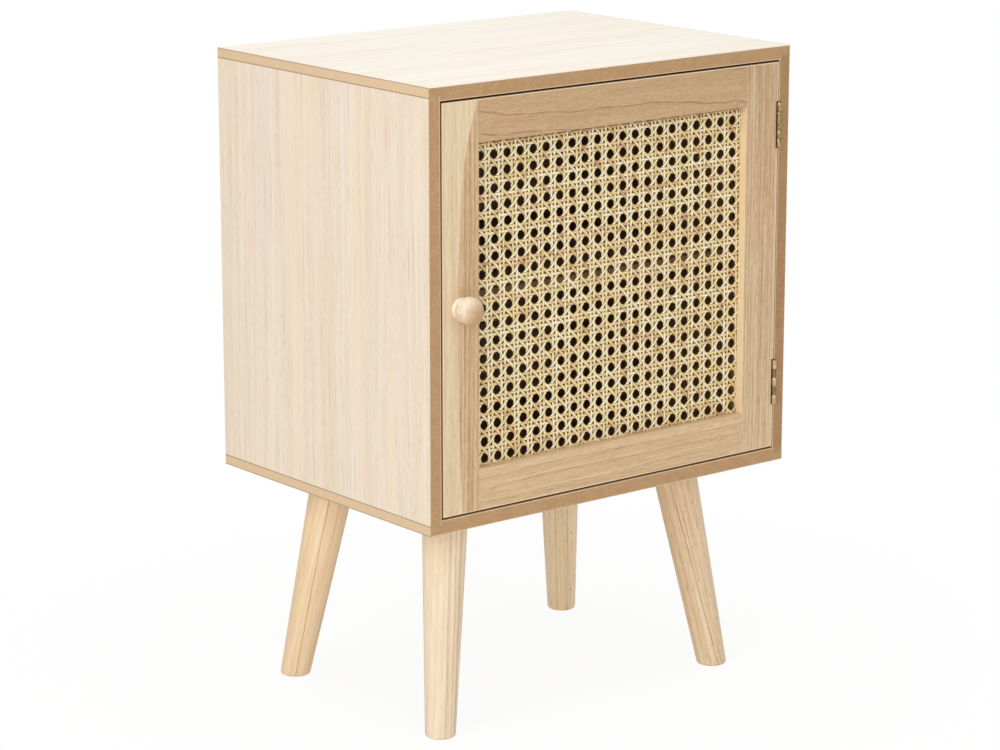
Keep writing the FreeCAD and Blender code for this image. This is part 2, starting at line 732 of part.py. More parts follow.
def brad_spots(side):
    """Where the brads of one bead start, on its sight edge."""
    if side in ("bottom", "top"):
        level = SIGHT_BOTTOM if side == "bottom" else SIGHT_TOP
        return [(f"{BEAD_LEFT} + {share} * {BEAD_WIDTH}", BEAD_Y, level) for share in BRAD_SHARES]
    wall = SIGHT_LEFT if side == "left" else SIGHT_RIGHT
    return [(wall, BEAD_Y, f"{BEAD_BOTTOM} + {share} * {BEAD_HEIGHT}") for share in BRAD_SHARES]


brads = []
brad_holes = []
for side, outline in BEAD_OUTLINES.items():
    bead = doc.addObject("PartDesign::Body", f"cane_bead_{side}_strip")
    bead_pad = bead.newObject("PartDesign::Pad", f"cane_bead_{side}_pad")
    bead_pad.Profile = body_sketch(bead, "XY_Plane", outline)
    bind(bead_pad, {"Length": BEAD_THICKNESS})
    place(bead, (BEAD_LEFT, DOOR_BACK, BEAD_BOTTOM), DIRECTIONS["-y"])
    side_holes = []
    for n, spot in enumerate(brad_spots(side)):
        direction = BRAD_DIRECTIONS[side]
        hole_diameter = "brad_diameter + 2 * fit_clearance"
        brads.append(rod(f"brad_{side}_{n}", "brad_diameter", spot, "brad_length", direction))
        side_holes.append(
            rod(f"brad_hole_{side}_{n}", hole_diameter, spot, "brad_length + fit_clearance", direction)
        )
    sub_part(cut(f"cane_bead_{side}", bead, side_holes))
    brad_holes += side_holes
sub_part(group("bead_brads", brads))

# Knob: turned in one piece, on a screw through the middle of the free stile
KNOB_X = f"({DOOR_LEFT} + stile_width / 2)"
KNOB_Z = f"(({DOOR_BOTTOM} + {DOOR_TOP}) / 2 + knob_rise)"
KNOB_BARREL = "(knob_projection - knob_dome_rise - knob_flange_thickness - knob_neck_length)"
CAP_BACK = "knob_flange_thickness + knob_neck_length"
CAP_SHOULDER = "knob_projection - knob_dome_rise"
KNOB_BORE_RADIUS = "knob_screw_diameter / 2 + fit_clearance"
KNOB_BORE_DEPTH = "knob_screw_grip + fit_clearance"
KNOB_OUTLINE = [
    (KNOB_BORE_RADIUS, "0"),
    ("knob_flange_diameter / 2", "0"),
    ("knob_flange_diameter / 2", "knob_flange_thickness"),
    ("knob_neck_diameter / 2", "knob_flange_thickness"),
    ("knob_neck_diameter / 2", CAP_BACK),
    ("knob_cap_diameter / 2", CAP_BACK),
    ("knob_cap_diameter / 2", CAP_SHOULDER),
    ("0", "knob_projection"),
    ("0", KNOB_BORE_DEPTH),
    (KNOB_BORE_RADIUS, KNOB_BORE_DEPTH),
]
KNOB_DOME_EDGE = 6


def rim(height, radius):
    """A test for the circular edge of a turned piece at a height and a radius."""
    def wanted(edge):
        box = edge.BoundBox
        level = abs(box.ZMin - height) < TOUCH_TOLERANCE and abs(box.ZMax - height) < TOUCH_TOLERANCE
        return level and abs(edge.Curve.Radius - radius) < TOUCH_TOLERANCE
    return wanted


def round_rim(body, name, height, radius, rounding):
    """Rounds one rim of a turned body."""
    doc.recompute()
    base = body.Tip
    fillet = body.newObject("PartDesign::Fillet", name)
    fillet.Base = (base, [f"Edge{n}" for n in edge_numbers(base.Shape, rim(height, radius))])
    bind(fillet, {"Radius": rounding})


knob = doc.addObject("PartDesign::Body", "knob")
knob_outline = body_sketch(knob, "XZ_Plane", KNOB_OUTLINE, KNOB_DOME_EDGE)
turned = knob.newObject("PartDesign::Revolution", "knob_turned")
turned.Profile = knob_outline
turned.ReferenceAxis = (knob_outline, ["V_Axis"])
turned.Angle = 360
flange_front = size("knob_flange_thickness")
cap_back = flange_front + size("knob_neck_length")
cap_shoulder = size("knob_projection") - size("knob_dome_rise")
cap_radius = size("knob_cap_diameter") / 2
cap_overhang = "(knob_cap_diameter - knob_neck_diameter) / 2"
round_rim(knob, "cap_front", cap_shoulder, cap_radius, f"knob_front_rounding_share * {KNOB_BARREL}")
round_rim(knob, "cap_back", cap_back, cap_radius, f"knob_back_rounding_share * {cap_overhang}")
round_rim(
    knob,
    "flange_rim",
    flange_front,
    size("knob_flange_diameter") / 2,
    "knob_flange_rounding_share * knob_flange_thickness",
)
sub_part(place(knob, (KNOB_X, FRONT_Y, KNOB_Z), DIRECTIONS["-y"]))

KNOB_SCREW_REACH = "(door_thickness + knob_screw_grip)"
knob_screw_shank = rod(
    "knob_screw_shank",
    "knob_screw_diameter",
    (KNOB_X, f"{DOOR_BACK} + knob_screw_head_height", KNOB_Z),
    f"knob_screw_head_height + {KNOB_SCREW_REACH}",
    "-y",
)
knob_screw_head = rod(
    "knob_screw_pan",
    "knob_screw_head",
    (KNOB_X, f"{DOOR_BACK} + knob_screw_head_height", KNOB_Z),
    "knob_screw_head_height",
    "-y",
)
sub_part(fuse("knob_screw", [knob_screw_head, knob_screw_shank]))
knob_screw_hole = rod(
    "knob_screw_hole",
    "knob_screw_diameter + 2 * fit_clearance",
    (KNOB_X, f"{DOOR_BACK} + overrun", KNOB_Z),
    "door_thickness + 2 * overrun",
    "-y",
)

# Stiles and rails
left_stile_blank = block(
    "left_stile_blank",
    (DOOR_LEFT, FRONT_Y, DOOR_BOTTOM),
    (SIGHT_LEFT, DOOR_BACK, DOOR_TOP),
)
right_stile_blank = block(
    "right_stile_blank",
    (SIGHT_RIGHT, FRONT_Y, DOOR_BOTTOM),
    (DOOR_RIGHT, DOOR_BACK, DOOR_TOP),
)
top_rail_blank = block(
    "top_rail_blank",
    (SIGHT_LEFT, FRONT_Y, SIGHT_TOP),
    (SIGHT_RIGHT, DOOR_BACK, DOOR_TOP),
)
bottom_rail_blank = block(
    "bottom_rail_blank",
    (SIGHT_LEFT, FRONT_Y, DOOR_BOTTOM),
    (SIGHT_RIGHT, DOOR_BACK, SIGHT_BOTTOM),
)
frame_cuts = [cane_rebate] + dowel_holes + brad_holes
sub_part(cut("door_left_stile", left_stile_blank, frame_cuts + [knob_screw_hole]))
sub_part(cut("door_right_stile", right_stile_blank, frame_cuts + door_hinge_cuts))
sub_part(cut("door_top_rail", top_rail_blank, frame_cuts + strike_screw_holes))
sub_part(cut("door_bottom_rail", bottom_rail_blank, frame_cuts))

# Cane webbing: one flat sheet with rows of eight-sided holes over the whole sight opening
CANE_MARGIN = "(rebate_width - cane_edge_gap)"
sight_width = (
    size("carcass_width") - 2 * size("board_thickness") - size("door_gap") - size("hinge_gap")
    - 2 * size("stile_width")
)
sight_height = (
    size("carcass_height") - 2 * size("board_thickness") - 2 * size("door_gap") - 2 * size("rail_width")
)
cane_margin = size("rebate_width") - size("cane_edge_gap")
column_pitch = sight_width / CANE_COLUMNS
row_pitch = sight_height / CANE_ROWS
hole_radius = size("cane_hole_share") * min(column_pitch, row_pitch) / 2
hole_corner = hole_radius / math.cos(math.pi / CANE_HOLE_SIDES)


def cane_hole(column, row):
    """The outline of one hole, with a flat side towards each neighbour."""
    middle_x = cane_margin + (column + 1 / 2) * column_pitch
    middle_z = cane_margin + (row + 1 / 2) * row_pitch
    corners = []
    for n in range(CANE_HOLE_SIDES + 1):
        turn = 2 * math.pi * (n + 1 / 2) / CANE_HOLE_SIDES
        spot_x = middle_x + hole_corner * math.cos(turn)
        spot_z = middle_z + hole_corner * math.sin(turn)
        corners.append(FreeCAD.Vector(spot_x, 0, spot_z))
    return Part.makePolygon(corners)


def cane_sheet():
    """The webbing as one holed face, given its thickness."""
    width = sight_width + 2 * cane_margin
    height = sight_height + 2 * cane_margin
    corners = [(0, 0), (width, 0), (width, height), (0, height), (0, 0)]
    edge = Part.makePolygon([FreeCAD.Vector(x, 0, z) for x, z in corners])
    holes = [cane_hole(column, row) for column in range(CANE_COLUMNS) for row in range(CANE_ROWS)]
    face = Part.makeFace([edge] + holes, "Part::FaceMakerBullseye")
    return face.extrude(FreeCAD.Vector(0, size("cane_thickness"), 0))


cane = doc.addObject("Part::Feature", "cane_panel")
cane.Shape = cane_sheet()
sub_part(place(cane, (
    f"{SIGHT_LEFT} - {CANE_MARGIN}",
    f"{FRONT_Y} + lip_thickness",
    f"{SIGHT_BOTTOM} - {CANE_MARGIN}",
)))

# Check every object, then write each sub-part to its own file
doc.recompute()
for item in doc.Objects:
    if "Invalid" in item.State or "Error" in item.State:
        raise RuntimeError(f"{item.Label} could not be built: {item.State}")
for item in sub_parts:
    if item.Shape.isNull() or not item.Shape.isValid():
        raise RuntimeError(f"{item.Label} has no valid shape")
os.makedirs("parts", exist_ok=True)
for item in sub_parts:
    item.Shape.exportStep(f"parts/{item.Label}.step")
print(f"{len(sub_parts)} sub-parts written")
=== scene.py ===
import math
import random
from typing import NamedTuple

import bpy
from mathutils import Matrix, Vector

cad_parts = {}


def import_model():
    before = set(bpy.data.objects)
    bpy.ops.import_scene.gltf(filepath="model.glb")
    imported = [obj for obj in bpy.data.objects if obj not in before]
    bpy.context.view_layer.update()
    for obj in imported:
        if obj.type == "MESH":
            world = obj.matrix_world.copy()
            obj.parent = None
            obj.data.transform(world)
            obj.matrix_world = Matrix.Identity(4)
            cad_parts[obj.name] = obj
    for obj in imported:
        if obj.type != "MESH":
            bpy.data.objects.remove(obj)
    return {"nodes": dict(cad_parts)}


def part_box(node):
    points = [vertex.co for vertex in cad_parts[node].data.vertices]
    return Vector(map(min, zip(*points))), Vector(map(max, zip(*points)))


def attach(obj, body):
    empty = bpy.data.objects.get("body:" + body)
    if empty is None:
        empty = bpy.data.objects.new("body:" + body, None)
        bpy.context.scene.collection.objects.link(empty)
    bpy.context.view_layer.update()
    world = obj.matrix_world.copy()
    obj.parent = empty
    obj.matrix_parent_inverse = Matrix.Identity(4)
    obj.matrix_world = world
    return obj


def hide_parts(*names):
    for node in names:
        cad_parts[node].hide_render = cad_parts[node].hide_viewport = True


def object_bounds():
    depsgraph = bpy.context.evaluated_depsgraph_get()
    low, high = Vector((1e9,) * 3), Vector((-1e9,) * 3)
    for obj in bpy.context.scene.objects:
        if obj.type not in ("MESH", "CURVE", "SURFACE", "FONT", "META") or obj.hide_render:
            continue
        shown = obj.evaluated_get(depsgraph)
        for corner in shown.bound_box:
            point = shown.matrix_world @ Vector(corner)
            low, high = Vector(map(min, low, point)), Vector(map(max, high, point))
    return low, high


# Nightstand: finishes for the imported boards, legs and hinges, and a woven cane panel in the door.
# Metres, +Z up, front towards -Y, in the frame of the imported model.

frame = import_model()
nodes = frame["nodes"]
cad_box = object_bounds()

X_AXIS = 0
Y_AXIS = 1
Z_AXIS = 2

# Arrises: the small roundings that a sanded edge has
BOARD_ARRIS = 0.00035
DOOR_ARRIS = 0.0006
METAL_ARRIS = 0.00015
ARRIS_SEGMENTS = 2
ARRIS_ANGLE = math.radians(40)
WELD_DISTANCE = 1e-6

# The sockets of a Mix node that take and give colours
MIX_SHARE = 0
MIX_FIRST = 6
MIX_SECOND = 7
MIX_RESULT = 2


def linear(red, green, blue):
    """A display colour, 0 to 255, as the linear colour that a shader takes."""
    def channel(value):
        share = value / 255
        return share / 12.92 if share <= 0.04045 else ((share + 0.055) / 1.055) ** 2.4
    return (channel(red), channel(green), channel(blue), 1.0)


class Finish:
    """A material's node tree, with short calls for the nodes that the finishes are made of."""

    def __init__(self, name, roughness, specular, metallic=0.0):
        self.material = bpy.data.materials.new(name)
        self.material.use_nodes = True
        self.tree = self.material.node_tree
        self.shader = self.tree.nodes["Principled BSDF"]
        self.shader.inputs["Roughness"].default_value = roughness
        self.shader.inputs["Metallic"].default_value = metallic
        self.shader.inputs["Specular IOR Level"].default_value = specular
        self.spot = self.node("ShaderNodeTexCoord").outputs["Object"]

    def node(self, kind, **settings):
        """A new node with its settings."""
        made = self.tree.nodes.new(kind)
        for name, value in settings.items():
            setattr(made, name, value)
        return made

    def feed(self, socket, value):
        """Links an output to a socket, or sets the socket's own value."""
        if isinstance(value, bpy.types.NodeSocket):
            self.tree.links.new(value, socket)
        else:
            socket.default_value = value

    def math(self, operation, first, second=0.0):
        """One operation on one or two numbers."""
        made = self.node("ShaderNodeMath", operation=operation)
        self.feed(made.inputs[0], first)
        self.feed(made.inputs[1], second)
        return made.outputs[0]

    def total(self, *terms):
        """The sum of several terms, each a pair of a value and its weight."""
        result = 0.0
        for value, weight in terms:
            made = self.node("ShaderNodeMath", operation="MULTIPLY_ADD")
            self.feed(made.inputs[0], value)
            self.feed(made.inputs[1], weight)
            self.feed(made.inputs[2], result)
            result = made.outputs[0]
        return result

    def vector(self, operation, first, second):
        """One operation on two vectors."""
        made = self.node("ShaderNodeVectorMath", operation=operation)
        self.feed(made.inputs[0], first)
        self.feed(made.inputs[1], second)
        return made.outputs["Value" if operation in ("DOT_PRODUCT", "DISTANCE") else "Vector"]

    def parts(self, vector):
        """The X, Y and Z of a vector."""
        made = self.node("ShaderNodeSeparateXYZ")
        self.feed(made.inputs[0], vector)
        return made.outputs

    def joined(self, x, y, z):
        """The vector of three numbers."""
        made = self.node("ShaderNodeCombineXYZ")
        for socket, value in zip(made.inputs, (x, y, z)):
            self.feed(socket, value)
        return made.outputs[0]

    def noise(self, lengths, shift=0.0, spot=None, detail=2.0, roughness=0.5):
        """Noise from 0 to 1 whose blots measure the three lengths, with a shift that makes it its own."""
        scaled = self.vector("DIVIDE", self.spot if spot is None else spot, lengths)
        moved = self.vector("ADD", scaled, (shift, shift, shift))
        made = self.node("ShaderNodeTexNoise")
        self.feed(made.inputs["Vector"], moved)
        self.feed(made.inputs["Scale"], 1.0)
        self.feed(made.inputs["Detail"], detail)
        self.feed(made.inputs["Roughness"], roughness)
        return made.outputs["Fac"]

    def span(self, value, low, high, to_low=0.0, to_high=1.0, smooth=True):
        """Maps a value from one range to another and holds it at the ends."""
        made = self.node("ShaderNodeMapRange")
        made.interpolation_type = "SMOOTHSTEP" if smooth else "LINEAR"
        for name, item in zip(("Value", "From Min", "From Max", "To Min", "To Max"),
                              (value, low, high, to_low, to_high)):
            self.feed(made.inputs[name], item)
        return made.outputs[0]

    def ramp(self, value, stops):
        """A run of colours: each stop is a place from 0 to 1 and a colour."""
        made = self.node("ShaderNodeValToRGB")
        points = made.color_ramp.elements
        for place, _ in stops[1:-1]:
            points.new(place)
        for point, (place, colour) in zip(points, stops):
            point.position = place
            point.color = colour
        self.feed(made.inputs[0], value)
        return made.outputs[0]

    def mix(self, share, first, second):
        """The first colour, with a share of the second mixed in."""
        made = self.node("ShaderNodeMix", data_type="RGBA")
        self.feed(made.inputs[MIX_SHARE], share)
        self.feed(made.inputs[MIX_FIRST], first)
        self.feed(made.inputs[MIX_SECOND], second)
        return made.outputs[MIX_RESULT]

    def colour(self, value):
        """Gives the surface its colour."""
        self.feed(self.shader.inputs["Base Color"], value)

    def bump(self, height, depth):
        """Raises the surface by height, from 0 to 1, times a depth in metres."""
        made = self.node("ShaderNodeBump")
        self.feed(made.inputs["Strength"], 1.0)
        self.feed(made.inputs["Distance"], depth)
        self.feed(made.inputs["Height"], height)
        self.feed(self.shader.inputs["Normal"], made.outputs[0])


class Layer(NamedTuple):
    """Noise drawn out along the grain: the size of its blots, how fine it goes and how much it counts."""
    across: float
    along: float
    detail: float
    weight: float


class Marks(NamedTuple):
    """Dark marks where drawn-out noise passes a threshold, with how far they go towards the line colour."""
    across: float
    along: float
    low: float
    high: float
    strength: float


class Rings(NamedTuple):
    """Growth rings about a pith: their width, their lean and wander along the grain, and how they darken.

    thick is the thickness of a line, line how dark it is, fade how much a ring pales before the next, and
    drift the length along the grain over which it wanders.
    """
    pith: tuple
    width: float
    lean: float
    wander: float
    thick: float
    line: float
    fade: float
    drift: float = 0.30


class Stripe(NamedTuple):
    """One dark line along the grain: its offset at the foot, its lean, its half width and how dark it is."""
    offset: float
    lean: float
    half_width: float
    strength: float


class Wood(NamedTuple):
    """A kind of wood: its colours from deep to pale, the colour of its lines, and its layers and marks.

    slope is how much it pales in a metre along each axis of the grain's frame, and level is a spot where it
    has its own tone.
    """
    deep: tuple
    mid: tuple
    pale: tuple
    dark: tuple
    layers: tuple
    marks: tuple
    slope: tuple = None
    level: tuple = None


class Veneer(NamedTuple):
    """A veneer: its wood, and the warm and the cool tone of its broad bands."""
    wood: Wood
    warm: tuple
    cool: tuple


# For each direction of the grain, the axes that run across it twice and then along it
GRAIN_FRAMES = {
    X_AXIS: (Y_AXIS, Z_AXIS, X_AXIS),
    Y_AXIS: (X_AXIS, Z_AXIS, Y_AXIS),
    Z_AXIS: (X_AXIS, Y_AXIS, Z_AXIS),
}
GRAIN_DEPTH = 0.00007

# The tones of deep, middle and pale wood, the middle of a noise, and shifts that make layers and marks differ
NOISE_MIDDLE = 0.5
TONE_STOPS = (0.28, 0.5, 0.72)
LAYER_SHIFT = 3.7
MARK_SHIFT = 31.3

# Growth rings: how they wander, how uneven their years are, and how their lines start and break up
RING_WANDER = 0.03
RING_UNEVEN_SHARE = 2.3
RING_UNEVEN_DEPTH = 1.2
RING_ONSET_SHARE = 0.05
RING_DASH = (0.0012, 0.0012, 0.018)
RING_BREAK = (0.35, 0.6)
RING_LOW_SHARE = 0.2


def along_grain(finish, grain):
    """The spot in a frame whose Z runs along the grain."""
    spot = finish.parts(finish.spot)
    return finish.joined(*(spot[axis] for axis in GRAIN_FRAMES[grain]))


def layered(finish, local, layers, shift):
    """The weighted layers of noise, about the same middle as one of them."""
    terms = []
    for n, layer in enumerate(layers):
        lengths = (layer.across, layer.across, layer.along)
        terms.append((finish.noise(lengths, shift + n * LAYER_SHIFT, local, layer.detail), layer.weight))
    middle = NOISE_MIDDLE - NOISE_MIDDLE * sum(layer.weight for layer in layers)
    return finish.total((1.0, middle), *terms)


def growth_lines(finish, local, rings, shift):
    """Two values for growth rings: their dark lines, and the fade from one line to the next."""
    spot = finish.parts(local)
    offsets = [finish.math("SUBTRACT", spot[n], rings.pith[n]) for n in (X_AXIS, Y_AXIS)]
    squares = [finish.math("MULTIPLY", offset, offset) for offset in offsets]
    radius = finish.math("SQRT", finish.math("ADD", *squares))
    wander = finish.noise((RING_WANDER, RING_WANDER, rings.drift), shift, local, detail=2.0)
    uneven = finish.noise((rings.width * RING_UNEVEN_SHARE,) * 3, shift, finish.joined(radius, 0.0, 0.0))
    year = finish.total(
        (radius, 1 / rings.width),
        (spot[Z_AXIS], rings.lean / rings.width),
        (wander, rings.wander),
        (uneven, RING_UNEVEN_DEPTH),
    )
    age = finish.math("FRACT", year)
    onset = finish.span(age, 0.0, RING_ONSET_SHARE)
    thick_share = rings.thick / rings.width
    line = finish.math("MULTIPLY", onset, finish.span(age, RING_ONSET_SHARE, thick_share, 1.0, 0.0))
    return line, age


def wood_colour(finish, local, wood, shift, rings=None):
    """The colour of a wood, and a height for its bump."""
    tone = layered(finish, local, wood.layers, shift)
    if wood.slope is not None:
        away = finish.vector("SUBTRACT", local, wood.level)
        tone = finish.math("ADD", tone, finish.vector("DOT_PRODUCT", away, wood.slope))
    if rings is not None:
        line, age = growth_lines(finish, local, rings, shift)
        tone = finish.total((tone, 1.0), (age, rings.fade), (1.0, -rings.fade / 2))
    colour = finish.ramp(tone, tuple(zip(TONE_STOPS, (wood.deep, wood.mid, wood.pale))))
    if rings is not None:
        dashes = finish.noise(RING_DASH, shift, local, detail=2.0)
        strength = finish.span(dashes, *RING_BREAK, RING_LOW_SHARE * rings.line, rings.line)
        colour = finish.mix(finish.math("MULTIPLY", line, strength), colour, wood.dark)
    for n, marks in enumerate(wood.marks):
        lengths = (marks.across, marks.across, marks.along)
        blots = finish.noise(lengths, shift + n * LAYER_SHIFT + MARK_SHIFT, local, detail=1.0)
        colour = finish.mix(finish.span(blots, marks.low, marks.high, 0.0, marks.strength), colour, wood.dark)
    return colour, tone


# Paulownia veneer over fibreboard
VENEER_SKIN = 0.0006
VENEER_BAND = (0.026, 0.026, 0.50)
VENEER_BAND_STOPS = (0.34, 0.46, 0.54, 0.66)
VENEER_BAND_SHARE = 0.44
SIDE_VENEER = Veneer(
    wood=Wood(
        deep=linear(222, 203, 174),
        mid=linear(235, 218, 197),
        pale=linear(243, 231, 218),
        dark=linear(170, 140, 108),
        layers=(
            Layer(0.030, 1.2, 1.0, 0.25),
            Layer(0.0060, 0.25, 2.0, 0.45),
            Layer(0.0016, 0.05, 2.0, 0.34),
            Layer(0.0007, 0.006, 2.0, 0.50),
        ),
        marks=(Marks(0.0013, 0.12, 0.67, 0.74, 0.50), Marks(0.0008, 0.014, 0.66, 0.78, 0.45)),
    ),
    warm=linear(240, 223, 194),
    cool=linear(228, 215, 201),
)
# The top's veneer: a paler, whiter copy of the sides', painted sheen of the light glancing off the top
TOP_VENEER_WITH_SHEEN = Veneer(
    wood=SIDE_VENEER.wood._replace(
        deep=linear(236, 224, 208),
        mid=linear(243, 235, 223),
        pale=linear(248, 241, 231),
        dark=linear(206, 184, 158),
    ),
    warm=linear(246, 238, 222),
    cool=linear(242, 235, 226),
)
BACKING_SHEET = Veneer(
    wood=SIDE_VENEER.wood._replace(
        deep=linear(204, 175, 140),
        mid=linear(216, 188, 154),
        pale=linear(226, 200, 168),
        dark=linear(180, 148, 112),
    ),
    warm=linear(220, 192, 154),
    cool=linear(212, 186, 155),
)
FIBREBOARD_DARK = linear(160, 124, 86)
FIBREBOARD_MID = linear(186, 149, 108)
FIBREBOARD_PALE = linear(206, 171, 130)
FIBREBOARD_SIDE = linear(242, 216, 180)
FIBREBOARD_SIDE_SHARE = 0.6
FIBREBOARD_SPECK = (0.0009, 0.0009, 0.0009)
FIBREBOARD_SPECK_WEIGHT = 0.70
FIBREBOARD_BLUR = (0.012, 0.012, 0.012)
FIBREBOARD_BLUR_WEIGHT = 0.15
BOARD_ROUGHNESS = 0.6
BOARD_SPECULAR = 0.15
VENEER_RELIEF_SHARE = 0.6
SPECK_RELIEF_SHARE = 0.4
# Painted shade: the shelf, seen only through the cane, is darkened for the dim inside of the carcass
SHELF_SHADE = 0.12
SHELF_SHIFT = 89.6

# The lip inside the front edge of a board, painted pale as a highlight, and the inner face behind it, browned
# with painted shade
BOARD_LIP = 0.0007
BOARD_LIP_HIGHLIGHT_TONE = linear(218, 190, 156)
INNER_SHADE_TONE = linear(172, 134, 94)
INNER_SHADE_SHARE = 0.8

# How far behind the front the level gaps round the door stay pale before the painted shade starts, on the
# boards and on the door
LEVEL_GAP_SHADE_DEPTH = 0.0032

# The seams at the ends of a side's veneer, and the line of the top's and the bottom's along the outer sides
SEAM = 0.0011
SEAM_SHARE = 0.85
RIM_LINE = 0.0012
RIM_LINE_SHARE = 0.75
SEAM_TONE = linear(168, 142, 110)


def outer_side(finish):
    """1 on the outer left and right of the carcass, and 0 elsewhere."""
    away = finish.math("ABSOLUTE", finish.parts(finish.spot)[X_AXIS])
    return finish.math("GREATER_THAN", away, cad_box[1].x - VENEER_SKIN)


def fibreboard_colour(finish, shift, shade):
    """Raw board, with fine specks and sanded paler on the outer sides, and the specks for its bump."""
    blur = finish.noise(FIBREBOARD_BLUR, shift, detail=1.0)
    specks = finish.noise(FIBREBOARD_SPECK, shift, detail=3.0, roughness=0.65)
    middle = NOISE_MIDDLE - NOISE_MIDDLE * (FIBREBOARD_BLUR_WEIGHT + FIBREBOARD_SPECK_WEIGHT)
    tone = finish.total(
        (blur, FIBREBOARD_BLUR_WEIGHT),
        (specks, FIBREBOARD_SPECK_WEIGHT),
        (1.0, middle - shade),
    )
    raw = finish.ramp(tone, tuple(zip(TONE_STOPS, (FIBREBOARD_DARK, FIBREBOARD_MID, FIBREBOARD_PALE))))
    sanded = finish.math("MULTIPLY", outer_side(finish), FIBREBOARD_SIDE_SHARE)
    return finish.mix(sanded, raw, FIBREBOARD_SIDE), specks


def veneer_colour(finish, veneer, grain, shift):
    """Veneer with broad bands of a warmer and a cooler tone, and a height for its bump."""
    local = along_grain(finish, grain)
    colour, tone = wood_colour(finish, local, veneer.wood, shift)
    bands = finish.noise(VENEER_BAND, shift, local, detail=1.0)
    cool_from, cool_to, warm_from, warm_to = VENEER_BAND_STOPS
    cool = finish.span(bands, cool_from, cool_to, VENEER_BAND_SHARE, 0.0)
    warm = finish.span(bands, warm_from, warm_to, 0.0, VENEER_BAND_SHARE)
    colour = finish.mix(cool, colour, veneer.cool)
    return finish.mix(warm, colour, veneer.warm), tone


def board_finish(node, veneer, skin_axis, outside, grain, shift, shade=0.0):
    """A board with veneer on its outer face, raw edges, a front lip with a painted highlight and an inner
    face browned with painted shade.

    outside says which way the outer face looks along skin_axis, 1 or -1, and shade darkens the raw edges.
    """
    finish = Finish(f"{node}_board", roughness=BOARD_ROUGHNESS, specular=BOARD_SPECULAR)
    low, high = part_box(node)
    spot = finish.parts(finish.spot)
    outer = high if outside > 0 else low
    depth = finish.total((spot[skin_axis], -outside), (1.0, outside * outer[skin_axis]))
    skin = finish.math("LESS_THAN", depth, VENEER_SKIN)
    face, tone = veneer_colour(finish, veneer, grain, shift)
    core, specks = fibreboard_colour(finish, shift, shade)
    colour = finish.mix(skin, core, face)
    thickness = abs(high[skin_axis] - low[skin_axis])
    far = finish.math("GREATER_THAN", depth, thickness - BOARD_LIP)
    front = finish.math("LESS_THAN", spot[Y_AXIS], low.y + BOARD_LIP)
    setback = 0.0 if grain == Z_AXIS else LEVEL_GAP_SHADE_DEPTH
    inside = finish.math("GREATER_THAN", spot[Y_AXIS], low.y + setback)
    # Painted shade: the inner faces behind the front are browned
    inner = finish.math("MULTIPLY", finish.math("MULTIPLY", far, inside), INNER_SHADE_SHARE)
    colour = finish.mix(inner, colour, INNER_SHADE_TONE)
    # Painted highlight: the lip just inside the front edge is pale
    colour = finish.mix(finish.math("MULTIPLY", far, front), colour, BOARD_LIP_HIGHLIGHT_TONE)
    if grain == Z_AXIS:
        upper = finish.math("GREATER_THAN", spot[Z_AXIS], high.z - SEAM)
        lower = finish.math("LESS_THAN", spot[Z_AXIS], low.z + SEAM)
        seam = finish.math("MULTIPLY", finish.math("MAXIMUM", upper, lower), skin)
        colour = finish.mix(finish.math("MULTIPLY", seam, SEAM_SHARE), colour, SEAM_TONE)
    else:
        rim = finish.span(depth, RIM_LINE / 2, RIM_LINE, RIM_LINE_SHARE, 0.0)
        colour = finish.mix(finish.math("MULTIPLY", rim, outer_side(finish)), colour, SEAM_TONE)
    finish.colour(colour)
    finish.bump(finish.total((tone, VENEER_RELIEF_SHARE), (specks, SPECK_RELIEF_SHARE)), GRAIN_DEPTH)
    return finish.material


def raw_board_finish(node, shift, shade):
    """A board with no veneer."""
    finish = Finish(f"{node}_board", roughness=BOARD_ROUGHNESS, specular=BOARD_SPECULAR)
    colour, specks = fibreboard_colour(finish, shift, shade)
    finish.colour(colour)
    finish.bump(specks, GRAIN_DEPTH)
    return finish.material


def dress(node, material, arris=None):
    """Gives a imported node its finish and, where it has an arris, softened edges."""
    piece = nodes[node]
    piece.data.materials.clear()
    piece.data.materials.append(material)
    if arris is None:
        return
    weld = piece.modifiers.new("weld", "WELD")
    weld.merge_threshold = WELD_DISTANCE
    bevel = piece.modifiers.new("arris", "BEVEL")
    bevel.width = arris
    bevel.segments = ARRIS_SEGMENTS
    bevel.limit_method = "ANGLE"
    bevel.angle_limit = ARRIS_ANGLE


BOARDS = {
    "top_panel": dict(veneer=TOP_VENEER_WITH_SHEEN, skin_axis=Z_AXIS, outside=1, grain=X_AXIS, shift=1.6),
    "bottom_panel": dict(veneer=BACKING_SHEET, skin_axis=Z_AXIS, outside=-1, grain=X_AXIS, shift=23.6),
    "left_side_panel": dict(veneer=SIDE_VENEER, skin_axis=X_AXIS, outside=-1, grain=Z_AXIS, shift=41.6),
    "right_side_panel": dict(
        veneer=SIDE_VENEER, skin_axis=X_AXIS, outside=1, grain=Z_AXIS, shift=67.6, shade=0.12),
}
for node, board in BOARDS.items():
    dress(node, board_finish(node, **board), BOARD_ARRIS)
dress("shelf", raw_board_finish("shelf", SHELF_SHIFT, SHELF_SHADE), BOARD_ARRIS)

